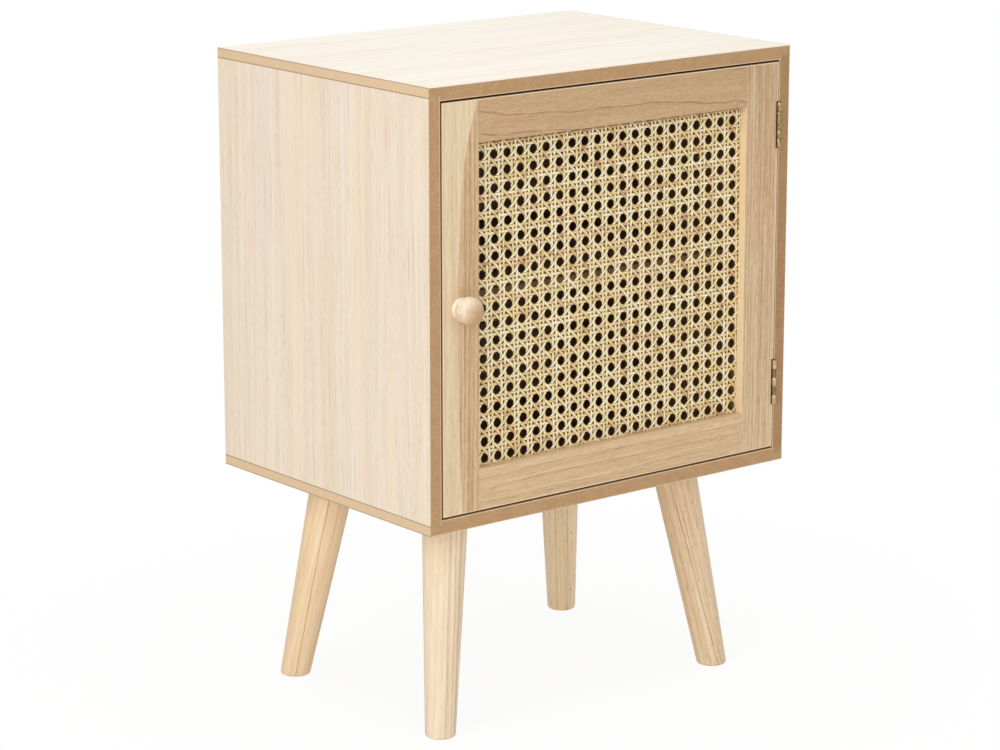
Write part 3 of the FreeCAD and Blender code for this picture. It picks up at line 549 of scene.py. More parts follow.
# Solid paulownia of the door frame
DOOR_LAYERS = (
    Layer(0.010, 0.8, 1.0, 0.45),
    Layer(0.0030, 0.15, 2.0, 0.60),
    Layer(0.0012, 0.025, 2.0, 0.60),
    Layer(0.0006, 0.006, 1.0, 0.60),
)
TOP_RAIL_LAYERS = (
    Layer(0.012, 0.8, 1.0, 0.25),
    Layer(0.0030, 0.12, 2.0, 0.25),
    Layer(0.0011, 0.009, 2.0, 0.50),
    Layer(0.0006, 0.003, 1.0, 0.60),
)
BOTTOM_RAIL_LAYERS = (
    Layer(0.0060, 0.25, 2.0, 0.50),
    Layer(0.0016, 0.040, 2.0, 0.45),
    Layer(0.0008, 0.008, 2.0, 0.50),
)
DOOR_MARKS = (Marks(0.0007, 0.014, 0.63, 0.78, 0.45),)
RAIL_MARKS = (Marks(0.0007, 0.016, 0.65, 0.79, 0.45),)
DOOR_BROWN = Wood(
    deep=linear(186, 151, 114),
    mid=linear(207, 175, 136),
    pale=linear(222, 193, 155),
    dark=linear(140, 105, 73),
    layers=DOOR_LAYERS,
    marks=DOOR_MARKS,
)
RIGHT_STILE_WOOD = DOOR_BROWN._replace(
    mid=linear(206, 175, 141), pale=linear(223, 197, 160), slope=(0, 0, -0.55), level=(0, 0, 0.42))
TOP_RAIL_WOOD = DOOR_BROWN._replace(
    mid=linear(198, 165, 127),
    pale=linear(213, 181, 143),
    dark=linear(144, 98, 64),
    layers=TOP_RAIL_LAYERS,
    marks=RAIL_MARKS,
)
BOTTOM_RAIL_WOOD = DOOR_BROWN._replace(
    deep=linear(196, 164, 124),
    mid=linear(213, 183, 144),
    pale=linear(227, 201, 163),
    layers=BOTTOM_RAIL_LAYERS,
    marks=RAIL_MARKS,
)
# The beads, seen only through the cane, are a darker copy of the frame's wood: painted shade of the door's
# inside
SHADED_BEAD_WOOD = DOOR_BROWN._replace(
    deep=linear(136, 106, 76), mid=linear(152, 120, 88), pale=linear(168, 136, 102))
DOOR_PALE = Wood(
    deep=linear(214, 188, 152),
    mid=linear(224, 200, 165),
    pale=linear(233, 212, 179),
    dark=linear(178, 144, 106),
    layers=DOOR_LAYERS,
    marks=(),
)
RIGHT_STILE_RINGS = Rings((0.40, 0.02), 0.0032, lean=0.004, wander=1.5, thick=0.0007, line=0.50, fade=0.15)
LEFT_STILE_RINGS = Rings((-0.45, 0.02), 0.0042, lean=-0.006, wander=1.5, thick=0.0011, line=0.60, fade=0.15)
TOP_RAIL_RINGS = Rings(
    (-0.30, 0.62), 0.0095, lean=-0.030, wander=1.0, thick=0.0009, line=0.80, fade=0.05, drift=0.09)
BOTTOM_RAIL_RINGS = Rings(
    (-0.30, 0.62), 0.0095, lean=0.012, wander=1.5, thick=0.0010, line=0.45, fade=0.12, drift=0.13)
BEAD_RINGS = Rings((-0.50, 0.30), 0.0050, lean=0.01, wander=1.5, thick=0.0010, line=0.40, fade=0.12)
DOOR_MEMBERS = {
    "door_right_stile": dict(grain=Z_AXIS, wood=RIGHT_STILE_WOOD, rings=RIGHT_STILE_RINGS, shift=13.0),
    "door_top_rail": dict(grain=X_AXIS, wood=TOP_RAIL_WOOD, rings=TOP_RAIL_RINGS, shift=21.0),
    "door_bottom_rail": dict(grain=X_AXIS, wood=BOTTOM_RAIL_WOOD, rings=BOTTOM_RAIL_RINGS, shift=29.0),
    "cane_bead_top": dict(grain=X_AXIS, wood=SHADED_BEAD_WOOD, rings=BEAD_RINGS, shift=33.0),
    "cane_bead_bottom": dict(grain=X_AXIS, wood=SHADED_BEAD_WOOD, rings=BEAD_RINGS, shift=37.0),
    "cane_bead_left": dict(grain=Z_AXIS, wood=SHADED_BEAD_WOOD, rings=BEAD_RINGS, shift=45.0),
    "cane_bead_right": dict(grain=Z_AXIS, wood=SHADED_BEAD_WOOD, rings=BEAD_RINGS, shift=49.0),
}
LEFT_STILE_SHIFT = 5.0
DOOR_ROUGHNESS = 0.58
DOOR_SPECULAR = 0.12

# The outline of the door and of the opening in its frame
DOOR_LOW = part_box("door_left_stile")[0]
DOOR_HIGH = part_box("door_right_stile")[1]
SIGHT_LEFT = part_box("door_left_stile")[1].x
SIGHT_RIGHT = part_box("door_right_stile")[0].x
SIGHT_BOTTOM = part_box("door_bottom_rail")[1].z
SIGHT_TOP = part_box("door_top_rail")[0].z
CANE_LOW, CANE_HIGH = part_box("cane_panel")

# The door's outer edges, dark as sawn wood and darker still with painted shade of the gaps round the door,
# a painted highlight on its rim, and painted light on the lit edge of the opening on the hinge side
UPRIGHT_GAP_SHADE_DEPTH = 0.0009
UPRIGHT_GAP_SHADE_SHARE = 0.85
LEVEL_GAP_SHADE_SHARE = 0.85
SAWN_EDGE_AND_GAP_SHADE_TONE = linear(112, 78, 46)
RIM = 0.0011
RIM_HIGHLIGHT_TONE = linear(236, 217, 184)
RIM_HIGHLIGHT_SHARE = 0.8
SIGHT_EDGE_LIGHT_SHARE = 0.85
SIGHT_EDGE_LIGHT_TONE = linear(252, 225, 180)


def door_edges(finish, colour):
    """A painted highlight on the door's rim, dark outer edges behind it with painted shade of the gaps,
    and painted light on the inner edge on the hinge side.
    """
    spot = finish.parts(finish.spot)
    insets = {}
    for axis in (X_AXIS, Z_AXIS):
        from_low = finish.math("SUBTRACT", spot[axis], DOOR_LOW[axis])
        from_high = finish.math("SUBTRACT", DOOR_HIGH[axis], spot[axis])
        insets[axis] = finish.math("MINIMUM", from_low, from_high)
    nearest = finish.math("MINIMUM", *insets.values())
    # Painted highlight along the door's rim
    colour = finish.mix(finish.span(nearest, RIM / 2, RIM, RIM_HIGHLIGHT_SHARE, 0.0), colour, RIM_HIGHLIGHT_TONE)
    edge_gap_shades = (
        (X_AXIS, UPRIGHT_GAP_SHADE_DEPTH, UPRIGHT_GAP_SHADE_SHARE),
        (Z_AXIS, LEVEL_GAP_SHADE_DEPTH, LEVEL_GAP_SHADE_SHARE),
    )
    # The edges behind the front: the dark of sawn wood, and painted shade of the gaps round the door
    for axis, depth, share in edge_gap_shades:
        behind = finish.math("GREATER_THAN", spot[Y_AXIS], DOOR_LOW.y + depth)
        edge = finish.math("LESS_THAN", insets[axis], DOOR_ARRIS)
        sawn_and_gap_shade = finish.math("MULTIPLY", finish.math("MULTIPLY", edge, behind), share)
        colour = finish.mix(sawn_and_gap_shade, colour, SAWN_EDGE_AND_GAP_SHADE_TONE)
    # Painted light on the lit inner edge of the opening on the hinge side, in front of the cane
    past_sight = finish.math("ABSOLUTE", finish.math("SUBTRACT", spot[X_AXIS], SIGHT_RIGHT))
    inner = finish.math("LESS_THAN", past_sight, DOOR_ARRIS)
    above = finish.math("GREATER_THAN", spot[Z_AXIS], SIGHT_BOTTOM)
    below = finish.math("LESS_THAN", spot[Z_AXIS], SIGHT_TOP)
    before = finish.math("LESS_THAN", spot[Y_AXIS], CANE_LOW.y)
    for limit in (above, below, before):
        inner = finish.math("MULTIPLY", inner, limit)
    return finish.mix(finish.math("MULTIPLY", inner, SIGHT_EDGE_LIGHT_SHARE), colour, SIGHT_EDGE_LIGHT_TONE)


# Where the pale sapwood of the left stile ends, as shares of its width: in the middle of its height, how
# much more at the foot and at the head, and the height over which the head's part fades
SAPWOOD_MIDDLE_SHARE = 0.40
SAPWOOD_FOOT_SHARE = 0.12
SAPWOOD_HEAD_SHARE = 0.60
SAPWOOD_FADE = 0.048
SAPWOOD_BLUR = 0.0006


def door_finish(name, grain, wood, rings, shift):
    """Brown paulownia with growth lines."""
    finish = Finish(name, roughness=DOOR_ROUGHNESS, specular=DOOR_SPECULAR)
    colour, tone = wood_colour(finish, along_grain(finish, grain), wood, shift, rings)
    finish.colour(door_edges(finish, colour))
    finish.bump(tone, GRAIN_DEPTH)
    return finish.material


def left_stile_finish(node, shift):
    """Paulownia in two tones: pale sapwood along the free edge, which spreads over the head of the stile."""
    finish = Finish(f"{node}_wood", roughness=DOOR_ROUGHNESS, specular=DOOR_SPECULAR)
    local = along_grain(finish, Z_AXIS)
    brown, tone = wood_colour(finish, local, DOOR_BROWN, shift, LEFT_STILE_RINGS)
    pale, _ = wood_colour(finish, local, DOOR_PALE, shift + MARK_SHIFT)
    low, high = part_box(node)
    spot = finish.parts(finish.spot)
    depth = finish.math("SUBTRACT", high.z, spot[Z_AXIS])
    head = finish.math("EXPONENT", finish.math("MULTIPLY", depth, -1 / SAPWOOD_FADE))
    half = (high.z - low.z) / 2
    foot = finish.math("MAXIMUM", finish.total((depth, 1 / half), (1.0, -1.0)), 0.0)
    foot = finish.math("MULTIPLY", foot, foot)
    shares = finish.total(
        (head, SAPWOOD_HEAD_SHARE),
        (foot, SAPWOOD_FOOT_SHARE),
        (1.0, SAPWOOD_MIDDLE_SHARE),
    )
    border = finish.total((shares, high.x - low.x), (1.0, low.x))
    past = finish.math("SUBTRACT", spot[X_AXIS], border)
    colour = finish.mix(finish.span(past, -SAPWOOD_BLUR, SAPWOOD_BLUR), pale, brown)
    finish.colour(door_edges(finish, colour))
    finish.bump(tone, GRAIN_DEPTH)
    return finish.material


for node, member in DOOR_MEMBERS.items():
    dress(node, door_finish(f"{node}_wood", **member), DOOR_ARRIS)
dress("door_left_stile", left_stile_finish("door_left_stile", LEFT_STILE_SHIFT), DOOR_ARRIS)

# Six-way cane weave: pairs up and across, and single strands along both diagonals. Its spots are counted in
# columns and rows from the first hole, and the strands lie about half a step from the holes
CANE_FIRST_HOLE = Vector((-0.1361, 0.0, 0.2504))
CANE_COLUMN_STEP = Vector((0.014011, 0.0, 0.000052))
CANE_ROW_STEP = Vector((-0.00023, 0.0, 0.014275))
CANE_COLUMNS = 21
CANE_ROWS = 19
CANE_PITCH = CANE_COLUMN_STEP.length
CANE_HALF_STEP = 0.5
CANE_PAIR_OFFSET_SHARE = 0.138
CANE_PAIR_WIDTH_SHARE = 0.196
CANE_DIAGONAL_WIDTH_SHARE = 0.195
CANE_PAIR_LIFT = 0.00030
CANE_DIAGONAL_LIFT = 0.00062
CANE_CROWN = 0.00036
CANE_BELLY = 0.00018
# The share of painted shade on a strand's underside
CANE_BELLY_SHADE_SHARE = 0.45
CANE_STEPS_PER_PITCH = 6
CANE_MARGIN = 4
CANE_INSET = 0.0004
# The tones of each set of strands. The rising diagonals are paler than the falling ones, partly painted
# light: the lamp at the upper left catches the one slope of strand more than the other
CANE_UPRIGHT_TONES = (0.35, 1.0)
CANE_LEVEL_TONES = (0.0, 0.75)
CANE_RISING_LIT_TONES = (0.65, 1.0)
CANE_FALLING_SHADED_TONES = (0.0, 0.55)
CANE_PROFILE_SHARES = ((-0.5, 0.0), (-0.36, 0.75), (0.0, 1.0), (0.36, 0.75), (0.5, 0.0), (0.0, -0.5))
# How the painted shade gathers towards a strand's edges
CANE_EDGE_SHADE_POWER = 3
CANE_OUTWARD = Vector((0, -1, 0))

# How the strands differ: the seed, their widths, and how far and how fast they sway along columns and rows
CANE_SEED = 7
CANE_WIDTH_SHARES = (0.93, 1.07)
CANE_SWAY = (0.0, 0.02)
CANE_COLUMN_SWAY_RATE = 0.9
CANE_ROW_SWAY_RATE = 0.7
CANE_FEWEST_SPOTS = 3


def pair_lift(t):
    """How far a strand of a pair lies in front of the weave's middle."""
    return CANE_PAIR_LIFT * math.sin(2 * math.pi * (t - CANE_HALF_STEP))


def diagonal_lift(t):
    """How far a diagonal strand lies in front of the weave's middle."""
    return CANE_DIAGONAL_LIFT * math.cos(2 * math.pi * t)


def upright_route(column, side):
    """The route of one strand of an upright pair, to one side of the pair's middle, 1 or -1."""
    line = column + CANE_HALF_STEP + side * CANE_PAIR_OFFSET_SHARE
    return lambda t: (line, t, side * pair_lift(t))


def level_route(row, side):
    """The route of one strand of a level pair, to one side of the pair's middle, 1 or -1."""
    line = row + CANE_HALF_STEP + side * CANE_PAIR_OFFSET_SHARE
    return lambda t: (t, line, -side * pair_lift(t))


def rising_route(row):
    """The route of a strand that climbs to the right from a row."""
    return lambda t: (t, t + row + CANE_HALF_STEP, -diagonal_lift(t))


def falling_route(row):
    """The route of a strand that drops to the right from a row."""
    return lambda t: (t, row + CANE_HALF_STEP - t, diagonal_lift(t))


def spots_in_panel(route, ends, phase, sway):
    """The spots in the panel of a swaying strand whose route(t) gives a column, a row and a lift."""
    middle_y = (CANE_LOW.y + CANE_HIGH.y) / 2
    start, end = ends
    steps = (end - start) * CANE_STEPS_PER_PITCH
    spots = []
    for n in range(steps + 1):
        turn = start + (end - start) * n / steps
        column, row, lift = route(turn)
        column += sway * math.sin(turn * CANE_COLUMN_SWAY_RATE + phase)
        row += sway * math.cos(turn * CANE_ROW_SWAY_RATE + phase)
        spot = CANE_FIRST_HOLE + CANE_COLUMN_STEP * column + CANE_ROW_STEP * row
        inside_x = CANE_LOW.x + CANE_INSET < spot.x < CANE_HIGH.x - CANE_INSET
        inside_z = CANE_LOW.z + CANE_INSET < spot.z < CANE_HIGH.z - CANE_INSET
        if inside_x and inside_z:
            spots.append(Vector((spot.x, middle_y - lift, spot.z)))
    return spots


class Weave:
    """Strands gathered into one mesh, each a bent ribbon with a crowned face."""

    def __init__(self):
        self.draw = random.Random(CANE_SEED)
        self.points = []
        self.faces = []
        self.tones = []
        self.edges = []

    def strand(self, route, ends, width, tone_range):
        """Adds a strand along a route, with a tone, a width and a sway of its own."""
        tone = self.draw.uniform(*tone_range)
        own_width = width * self.draw.uniform(*CANE_WIDTH_SHARES)
        phase = self.draw.uniform(0, 2 * math.pi)
        sway = self.draw.uniform(*CANE_SWAY)
        spots = spots_in_panel(route, ends, phase, sway)
        if len(spots) >= CANE_FEWEST_SPOTS:
            self.ribbon(spots, own_width, tone)

    def ribbon(self, spots, width, tone):
        """Adds a ribbon with closed ends along its spots."""
        size = len(CANE_PROFILE_SHARES)
        first = len(self.points)
        last = first + (len(spots) - 1) * size
        for n, spot in enumerate(spots):
            along = (spots[min(n + 1, len(spots) - 1)] - spots[max(n - 1, 0)]).normalized()
            side = along.cross(CANE_OUTWARD).normalized()
            outward = side.cross(along).normalized()
            for across_share, rise_share in CANE_PROFILE_SHARES:
                height = CANE_CROWN if rise_share > 0 else CANE_BELLY
                # Each point's share of painted shade, which grows towards the strand's edges
                edge = abs(2 * across_share) ** CANE_EDGE_SHADE_POWER
                self.points.append(spot + side * across_share * width + outward * rise_share * height)
                self.tones.append(tone)
                self.edges.append(edge if rise_share >= 0 else CANE_BELLY_SHADE_SHARE)
        for ring in range(first, last, size):
            for k in range(size):
                a = ring + k
                b = ring + (k + 1) % size
                self.faces.append((a, b, b + size, a + size))
        self.faces.append(tuple(reversed(range(first, first + size))))
        self.faces.append(tuple(range(last, last + size)))

    def piece(self):
        """The strands as an object, with each point's tone and its share of painted shade near the strand's
        edges, for the material.
        """
        mesh = bpy.data.meshes.new("cane_weave")
        mesh.from_pydata(self.points, [], self.faces)
        for name, values in (("strand_tone", self.tones), ("strand_edge_shade", self.edges)):
            attribute = mesh.attributes.new(name, "FLOAT", "POINT")
            attribute.data.foreach_set("value", values)
        mesh.polygons.foreach_set("use_smooth", [True] * len(mesh.polygons))
        mesh.update()
        made = bpy.data.objects.new("cane_weave", mesh)
        bpy.context.scene.collection.objects.link(made)
        return made


def cane_weave():
    """The whole weave, each set of strands with its own range of tones."""
    strands = Weave()
    pair_width = CANE_PAIR_WIDTH_SHARE * CANE_PITCH
    diagonal_width = CANE_DIAGONAL_WIDTH_SHARE * CANE_PITCH
    column_ends = (-CANE_MARGIN, CANE_COLUMNS + CANE_MARGIN)
    row_ends = (-CANE_MARGIN, CANE_ROWS + CANE_MARGIN)
    for side in (-1, 1):
        for column in range(*column_ends):
            strands.strand(upright_route(column, side), row_ends, pair_width, CANE_UPRIGHT_TONES)
        for row in range(*row_ends):
            strands.strand(level_route(row, side), column_ends, pair_width, CANE_LEVEL_TONES)
    for row in range(-CANE_COLUMNS - CANE_MARGIN, CANE_ROWS + CANE_MARGIN):
        strands.strand(rising_route(row), column_ends, diagonal_width, CANE_RISING_LIT_TONES)
    for row in range(-CANE_MARGIN, CANE_COLUMNS + CANE_ROWS + CANE_MARGIN):
        strands.strand(falling_route(row), column_ends, diagonal_width, CANE_FALLING_SHADED_TONES)
    return strands.piece()


# Split rattan: its tones from brown to pale, and what decides them
CANE_ROUGHNESS = 0.45
CANE_SPECULAR = 0.25
CANE_PALE = linear(253, 240, 201)
CANE_MID = linear(239, 214, 154)
CANE_ROSE = linear(220, 182, 134)
CANE_BROWN = linear(184, 142, 100)
CANE_STOPS = ((0.40, CANE_BROWN), (0.52, CANE_ROSE), (0.65, CANE_MID), (0.88, CANE_PALE))
CANE_TONE_WEIGHT = 0.40
CANE_STRETCH = (0.012, 0.012, 0.012)
CANE_STRETCH_SHIFT = 3.0
CANE_STRETCH_WEIGHT = 0.75
CANE_FLECK = (0.0025, 0.0025, 0.0025)
CANE_FLECK_SHIFT = 9.0
CANE_FLECK_WEIGHT = 0.35
CANE_RELIEF = 0.00005
# Painted shade on the strands' edges, standing for the shade between the rounded strands
CANE_EDGE_SHADE_TONE = linear(108, 68, 20)
CANE_EDGE_SHADE_SPAN = (0.16, 0.95)
CANE_EDGE_SHADE_SHARE = 0.9

# Painted shadow of the rail and the stile on the cane, along the top and the left of the opening
GROOVE_SHADOW_REACH = 0.0045
GROOVE_SHADOW_SHARE = 0.85
GROOVE_SHADOW_TONE = linear(72, 46, 20)


def cane_finish():
    """Split rattan: each strand its own tone, with pinkish and brown stretches along it and edges darkened
    with painted shade.
    """
    finish = Finish("split_cane", roughness=CANE_ROUGHNESS, specular=CANE_SPECULAR)
    tone = finish.node("ShaderNodeAttribute", attribute_name="strand_tone").outputs["Fac"]
    edge = finish.node("ShaderNodeAttribute", attribute_name="strand_edge_shade").outputs["Fac"]
    stretches = finish.noise(CANE_STRETCH, CANE_STRETCH_SHIFT, detail=2.0)
    flecks = finish.noise(CANE_FLECK, CANE_FLECK_SHIFT, detail=2.0)
    mixed_tone = finish.total(
        (tone, CANE_TONE_WEIGHT),
        (stretches, CANE_STRETCH_WEIGHT),
        (flecks, CANE_FLECK_WEIGHT),
    )
    shade = finish.span(edge, *CANE_EDGE_SHADE_SPAN, 0.0, CANE_EDGE_SHADE_SHARE, smooth=False)
    colour = finish.mix(shade, finish.ramp(mixed_tone, CANE_STOPS), CANE_EDGE_SHADE_TONE)
    spot = finish.parts(finish.spot)
    # Painted shadow on the cane near the top and the left of the opening
    below = finish.math("SUBTRACT", SIGHT_TOP, spot[Z_AXIS])
    beside = finish.math("SUBTRACT", spot[X_AXIS], SIGHT_LEFT)
    groove_shadow = finish.span(finish.math("MINIMUM", below, beside), 0.0, GROOVE_SHADOW_REACH, GROOVE_SHADOW_SHARE, 0.0)
    finish.colour(finish.mix(groove_shadow, colour, GROOVE_SHADOW_TONE))
    finish.bump(flecks, CANE_RELIEF)
    return finish.material


weave = cane_weave()
weave.data.materials.append(cane_finish())
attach(weave, "door")
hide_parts("cane_panel")

# Turned legs of pine, each sawn from another part of the log; the back right leg's paler pine is painted
# light
PINE_CREAM = Wood(
    deep=linear(232, 205, 170),
    mid=linear(239, 219, 189),
    pale=linear(246, 231, 208),
    dark=linear(172, 128, 82),
    layers=(Layer(0.012, 0.8, 1.0, 0.40), Layer(0.0030, 0.3, 2.0, 0.40), Layer(0.0008, 0.03, 2.0, 0.45)),
    marks=(Marks(0.0011, 0.022, 0.70, 0.82, 0.30),),
)
PINE_GOLD = PINE_CREAM._replace(
    deep=linear(229, 196, 152), mid=linear(240, 211, 171), pale=linear(247, 226, 193))
PINE_TAN = PINE_CREAM._replace(
    deep=linear(213, 181, 141),
    mid=linear(233, 206, 170),
    pale=linear(244, 223, 193),
    dark=linear(150, 106, 64),
    marks=(Marks(0.0010, 0.011, 0.61, 0.76, 0.55),),
)
# Painted light: the back right leg stands in the carcass's shade, and its paler pine makes up for it
PINE_LIT = PINE_TAN._replace(
    deep=linear(241, 214, 174),
    mid=linear(252, 228, 190),
    pale=linear(254, 237, 208),
)
TURNED_SPECULAR = 0.35
LEG_ROUGHNESS = 0.52
LEG_RING_REACH = 0.40

# The camera's right in a leg's own frame
LEG_SIDE_SHARES = (0.78, -0.63)

# How the stripes waver, and how faint they get where they break up
STRIPE_WANDER = (0.02, 0.02, 0.06)
STRIPE_SWAY = 0.0025
STRIPE_LOW_SHARE = 0.5


def leg_rings(side, width, line):
    """Nearly straight growth lines, about a pith far off to the camera's right or left, 1 or -1."""
    pith = tuple(side * LEG_RING_REACH * share for share in LEG_SIDE_SHARES)
    return Rings(pith, width, lean=0.0, wander=1.2, thick=0.0014, line=line, fade=0.10)


LEGS = {
    "front_left_leg": dict(
        wood=PINE_CREAM, rings=leg_rings(side=1, width=0.0060, line=0.10), shift=3.0, stripes=(
            Stripe(0.0040, 0.004, 0.0017, 0.42),
            Stripe(0.0088, 0.006, 0.0009, 0.40),
            Stripe(0.0120, 0.012, 0.0012, 0.50),
        )),
    "front_right_leg": dict(
        wood=PINE_TAN, rings=leg_rings(side=1, width=0.0055, line=0.12), shift=15.0, stripes=(
            Stripe(0.0066, -0.026, 0.0012, 0.60),
            Stripe(0.0090, -0.020, 0.0007, 0.35),
        )),
    "back_left_leg": dict(
        wood=PINE_GOLD, rings=leg_rings(side=-1, width=0.0090, line=0.10), shift=27.0, stripes=(
            Stripe(0.0004, -0.044, 0.0007, 0.95),
            Stripe(0.0100, 0.020, 0.0012, 0.25),
        )),
    "back_right_leg": dict(
        wood=PINE_LIT, rings=leg_rings(side=-1, width=0.0045, line=0.12), shift=39.0, stripes=(
            Stripe(0.0055, 0.012, 0.0007, 0.60),
            Stripe(-0.0030, -0.010, 0.0008, 0.30),
        )),
}


def leg_frame(finish, node):
    """The spot in a leg's own frame, with Z up along its axis, which runs through its box's middle."""
    low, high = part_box(node)
    middle = (low + high) / 2
    foot = [corner for corner in nodes[node].data.vertices if corner.co.z < low.z + WELD_DISTANCE]
    heel = sum((corner.co for corner in foot), Vector()) / len(foot)
    axis = (Vector((2 * middle.x - heel.x, 2 * middle.y - heel.y, high.z)) - heel).normalized()
    side = Vector((0, 1, 0)).cross(axis).normalized()
    front = axis.cross(side)
    moved = finish.vector("SUBTRACT", finish.spot, tuple(heel))
    return finish.joined(*(finish.vector("DOT_PRODUCT", moved, tuple(v)) for v in (side, front, axis)))


def striped(finish, local, colour, dark, stripes, shift):
    """Draws single dark lines that run along a leg and waver a little."""
    spot = finish.parts(local)
    wander = finish.noise(STRIPE_WANDER, shift, local, detail=2.0)
    breaks = finish.noise(RING_DASH, shift, local, detail=2.0)
    across = finish.total(
        (spot[X_AXIS], LEG_SIDE_SHARES[0]),
        (spot[Y_AXIS], LEG_SIDE_SHARES[1]),
        (wander, STRIPE_SWAY),
        (1.0, -STRIPE_SWAY / 2),
    )
    for stripe in stripes:
        past = finish.total((across, 1.0), (spot[Z_AXIS], -stripe.lean), (1.0, -stripe.offset))
        near = finish.span(finish.math("ABSOLUTE", past), 0.0, stripe.half_width, 1.0, 0.0)
        strength = finish.span(breaks, *RING_BREAK, STRIPE_LOW_SHARE * stripe.strength, stripe.strength)
        colour = finish.mix(finish.math("MULTIPLY", near, strength), colour, dark)
    return colour


def leg_finish(node, wood, rings, shift, stripes):
    """Pine with its grain along the leg's own axis."""
    finish = Finish(f"{node}_wood", roughness=LEG_ROUGHNESS, specular=TURNED_SPECULAR)
    local = leg_frame(finish, node)
    colour, tone = wood_colour(finish, local, wood, shift, rings)
    finish.colour(striped(finish, local, colour, wood.dark, stripes, shift))
    finish.bump(tone, GRAIN_DEPTH)
    return finish.material


for node, leg in LEGS.items():
    dress(node, leg_finish(node, **leg))

# Turned beech knob, with painted light and shade: it pales towards its upper left and darkens to its lower
# right
KNOB_MIDDLE = sum(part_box("knob"), Vector()) / 2
KNOB_LIGHT_RISE = 0.004
KNOB_ROUGHNESS = 0.45
KNOB_SHIFT = 51.0
LIT_BEECH = Wood(
    deep=linear(194, 157, 118),
    mid=linear(233, 209, 180),
    pale=linear(254, 245, 229),
    dark=linear(186, 146, 108),
    layers=(Layer(0.006, 0.2, 1.0, 0.12), Layer(0.0012, 0.04, 2.0, 0.14)),
    marks=(Marks(0.0005, 0.003, 0.66, 0.80, 0.25),),
    # Painted light: paler up and to the left, darker to the right
    slope=(-11.5, 14.0, 10.0),
    level=(KNOB_MIDDLE.x, KNOB_MIDDLE.z + KNOB_LIGHT_RISE, KNOB_MIDDLE.y),
)
KNOB_RINGS = Rings((0.25, 0.34), 0.0030, lean=0.0, wander=0.5, thick=0.0009, line=0.18, fade=0.03)


def knob_finish():
    """Beech with its grain along the knob's axis, so that its face shows the ends of the years, and painted
    light that pales its upper left.
    """
    finish = Finish("knob_wood", roughness=KNOB_ROUGHNESS, specular=TURNED_SPECULAR)
    colour, tone = wood_colour(finish, along_grain(finish, Y_AXIS), LIT_BEECH, KNOB_SHIFT, KNOB_RINGS)
    finish.colour(colour)
    finish.bump(tone, GRAIN_DEPTH)
    return finish.material


dress("knob", knob_finish())

# Plain finishes for the small pieces
PLAIN_SPECULAR = 0.5
PLAIN_SHIFT = 2.0
PLAIN_BLOT_STOPS = (0.35, 0.7)
PLAIN_RELIEF = 0.00003


def plain_finish(name, colour, dark, roughness, metallic=0.0, blot=0.004):
    """One tone with soft blots of a darker one."""
    finish = Finish(name, roughness=roughness, specular=PLAIN_SPECULAR, metallic=metallic)
    blots = finish.noise((blot, blot, blot), PLAIN_SHIFT, detail=3.0)
    finish.colour(finish.mix(finish.span(blots, *PLAIN_BLOT_STOPS), colour, dark))
    finish.bump(blots, PLAIN_RELIEF)
    return finish.material


brass = plain_finish(
    "worn_brass", linear(216, 198, 158), linear(178, 156, 114), roughness=0.36, metallic=1.0, blot=0.002)
darker_brass = plain_finish(
    "darker_brass", linear(190, 168, 122), linear(132, 108, 70), roughness=0.38, metallic=1.0, blot=0.003)
darkest_brass = plain_finish(
    "darkest_brass", linear(152, 130, 101), linear(120, 100, 74), roughness=0.42, metallic=1.0, blot=0.002)
steel = plain_finish("zinc_plate", linear(190, 192, 196), linear(160, 162, 166), roughness=0.35, metallic=1.0)
plastic = plain_finish("catch_plastic", linear(226, 222, 212), linear(216, 211, 200), roughness=0.45)
ferrite = plain_finish("ferrite", linear(62, 62, 64), linear(46, 46, 48), roughness=0.6)
hardboard = plain_finish(
    "hardboard", linear(184, 150, 112), linear(174, 140, 103), roughness=0.7, blot=0.0016)
dowel_wood = plain_finish("dowel_beech", linear(222, 188, 146), linear(206, 170, 126), roughness=0.6)

# A hinge's piece is of the first brass here whose key starts its name
# The upper hinge, and the lower hinge's knuckles on the door, are of darker brass
HINGE_METALS = {"upper_hinge": darker_brass, "lower_hinge_door": darkest_brass, "lower_hinge": brass}
STEEL_ENDINGS = ("_nails", "_screws", "_screw", "_brads", "_pins", "_bolt", "_plate")

dress("back_panel", hardboard, BOARD_ARRIS)
dress("door_frame_dowels", dowel_wood)
dress("catch_housing", plastic, METAL_ARRIS)
dress("catch_magnet", ferrite, METAL_ARRIS)
for node in nodes:
    if "_hinge_" in node:
        metal = next(metal for start, metal in HINGE_METALS.items() if node.startswith(start))
        dress(node, metal, METAL_ARRIS if node.endswith("leaf") else None)
    elif node.endswith(STEEL_ENDINGS):
        dress(node, steel)

# Floor, lights and camera
FLOOR_SIZE = 12.0
FLOOR_TONE = linear(250, 249, 247)
FLOOR_ROUGHNESS = 0.9

# The floor is mostly white up to the first distance from the origin, and wholly white past the second
FLOOR_SHADOW_REACH = 0.25
FLOOR_WHITE_REACH = 0.75
FLOOR_WHITE_SHARE = 0.92
WORLD_STRENGTH = 0.45


def white_to_camera(finish, share):
    """The finish with a share of plain white in what the camera, reflections and clear pieces show of it."""
    rays = finish.node("ShaderNodeLightPath").outputs
    seen = finish.math("MAXIMUM", rays["Is Camera Ray"], rays["Is Glossy Ray"])
    seen = finish.math("MAXIMUM", seen, rays["Is Transmission Ray"])
    white = finish.node("ShaderNodeEmission")
    white.inputs["Color"].default_value = (1, 1, 1, 1)
    white.inputs["Strength"].default_value = 1.0
    mixed = finish.node("ShaderNodeMixShader")
    finish.feed(mixed.inputs[0], finish.math("MULTIPLY", seen, share))
    finish.feed(mixed.inputs[1], finish.shader.outputs[0])
    finish.feed(mixed.inputs[2], white.outputs[0])
    return mixed.outputs[0]


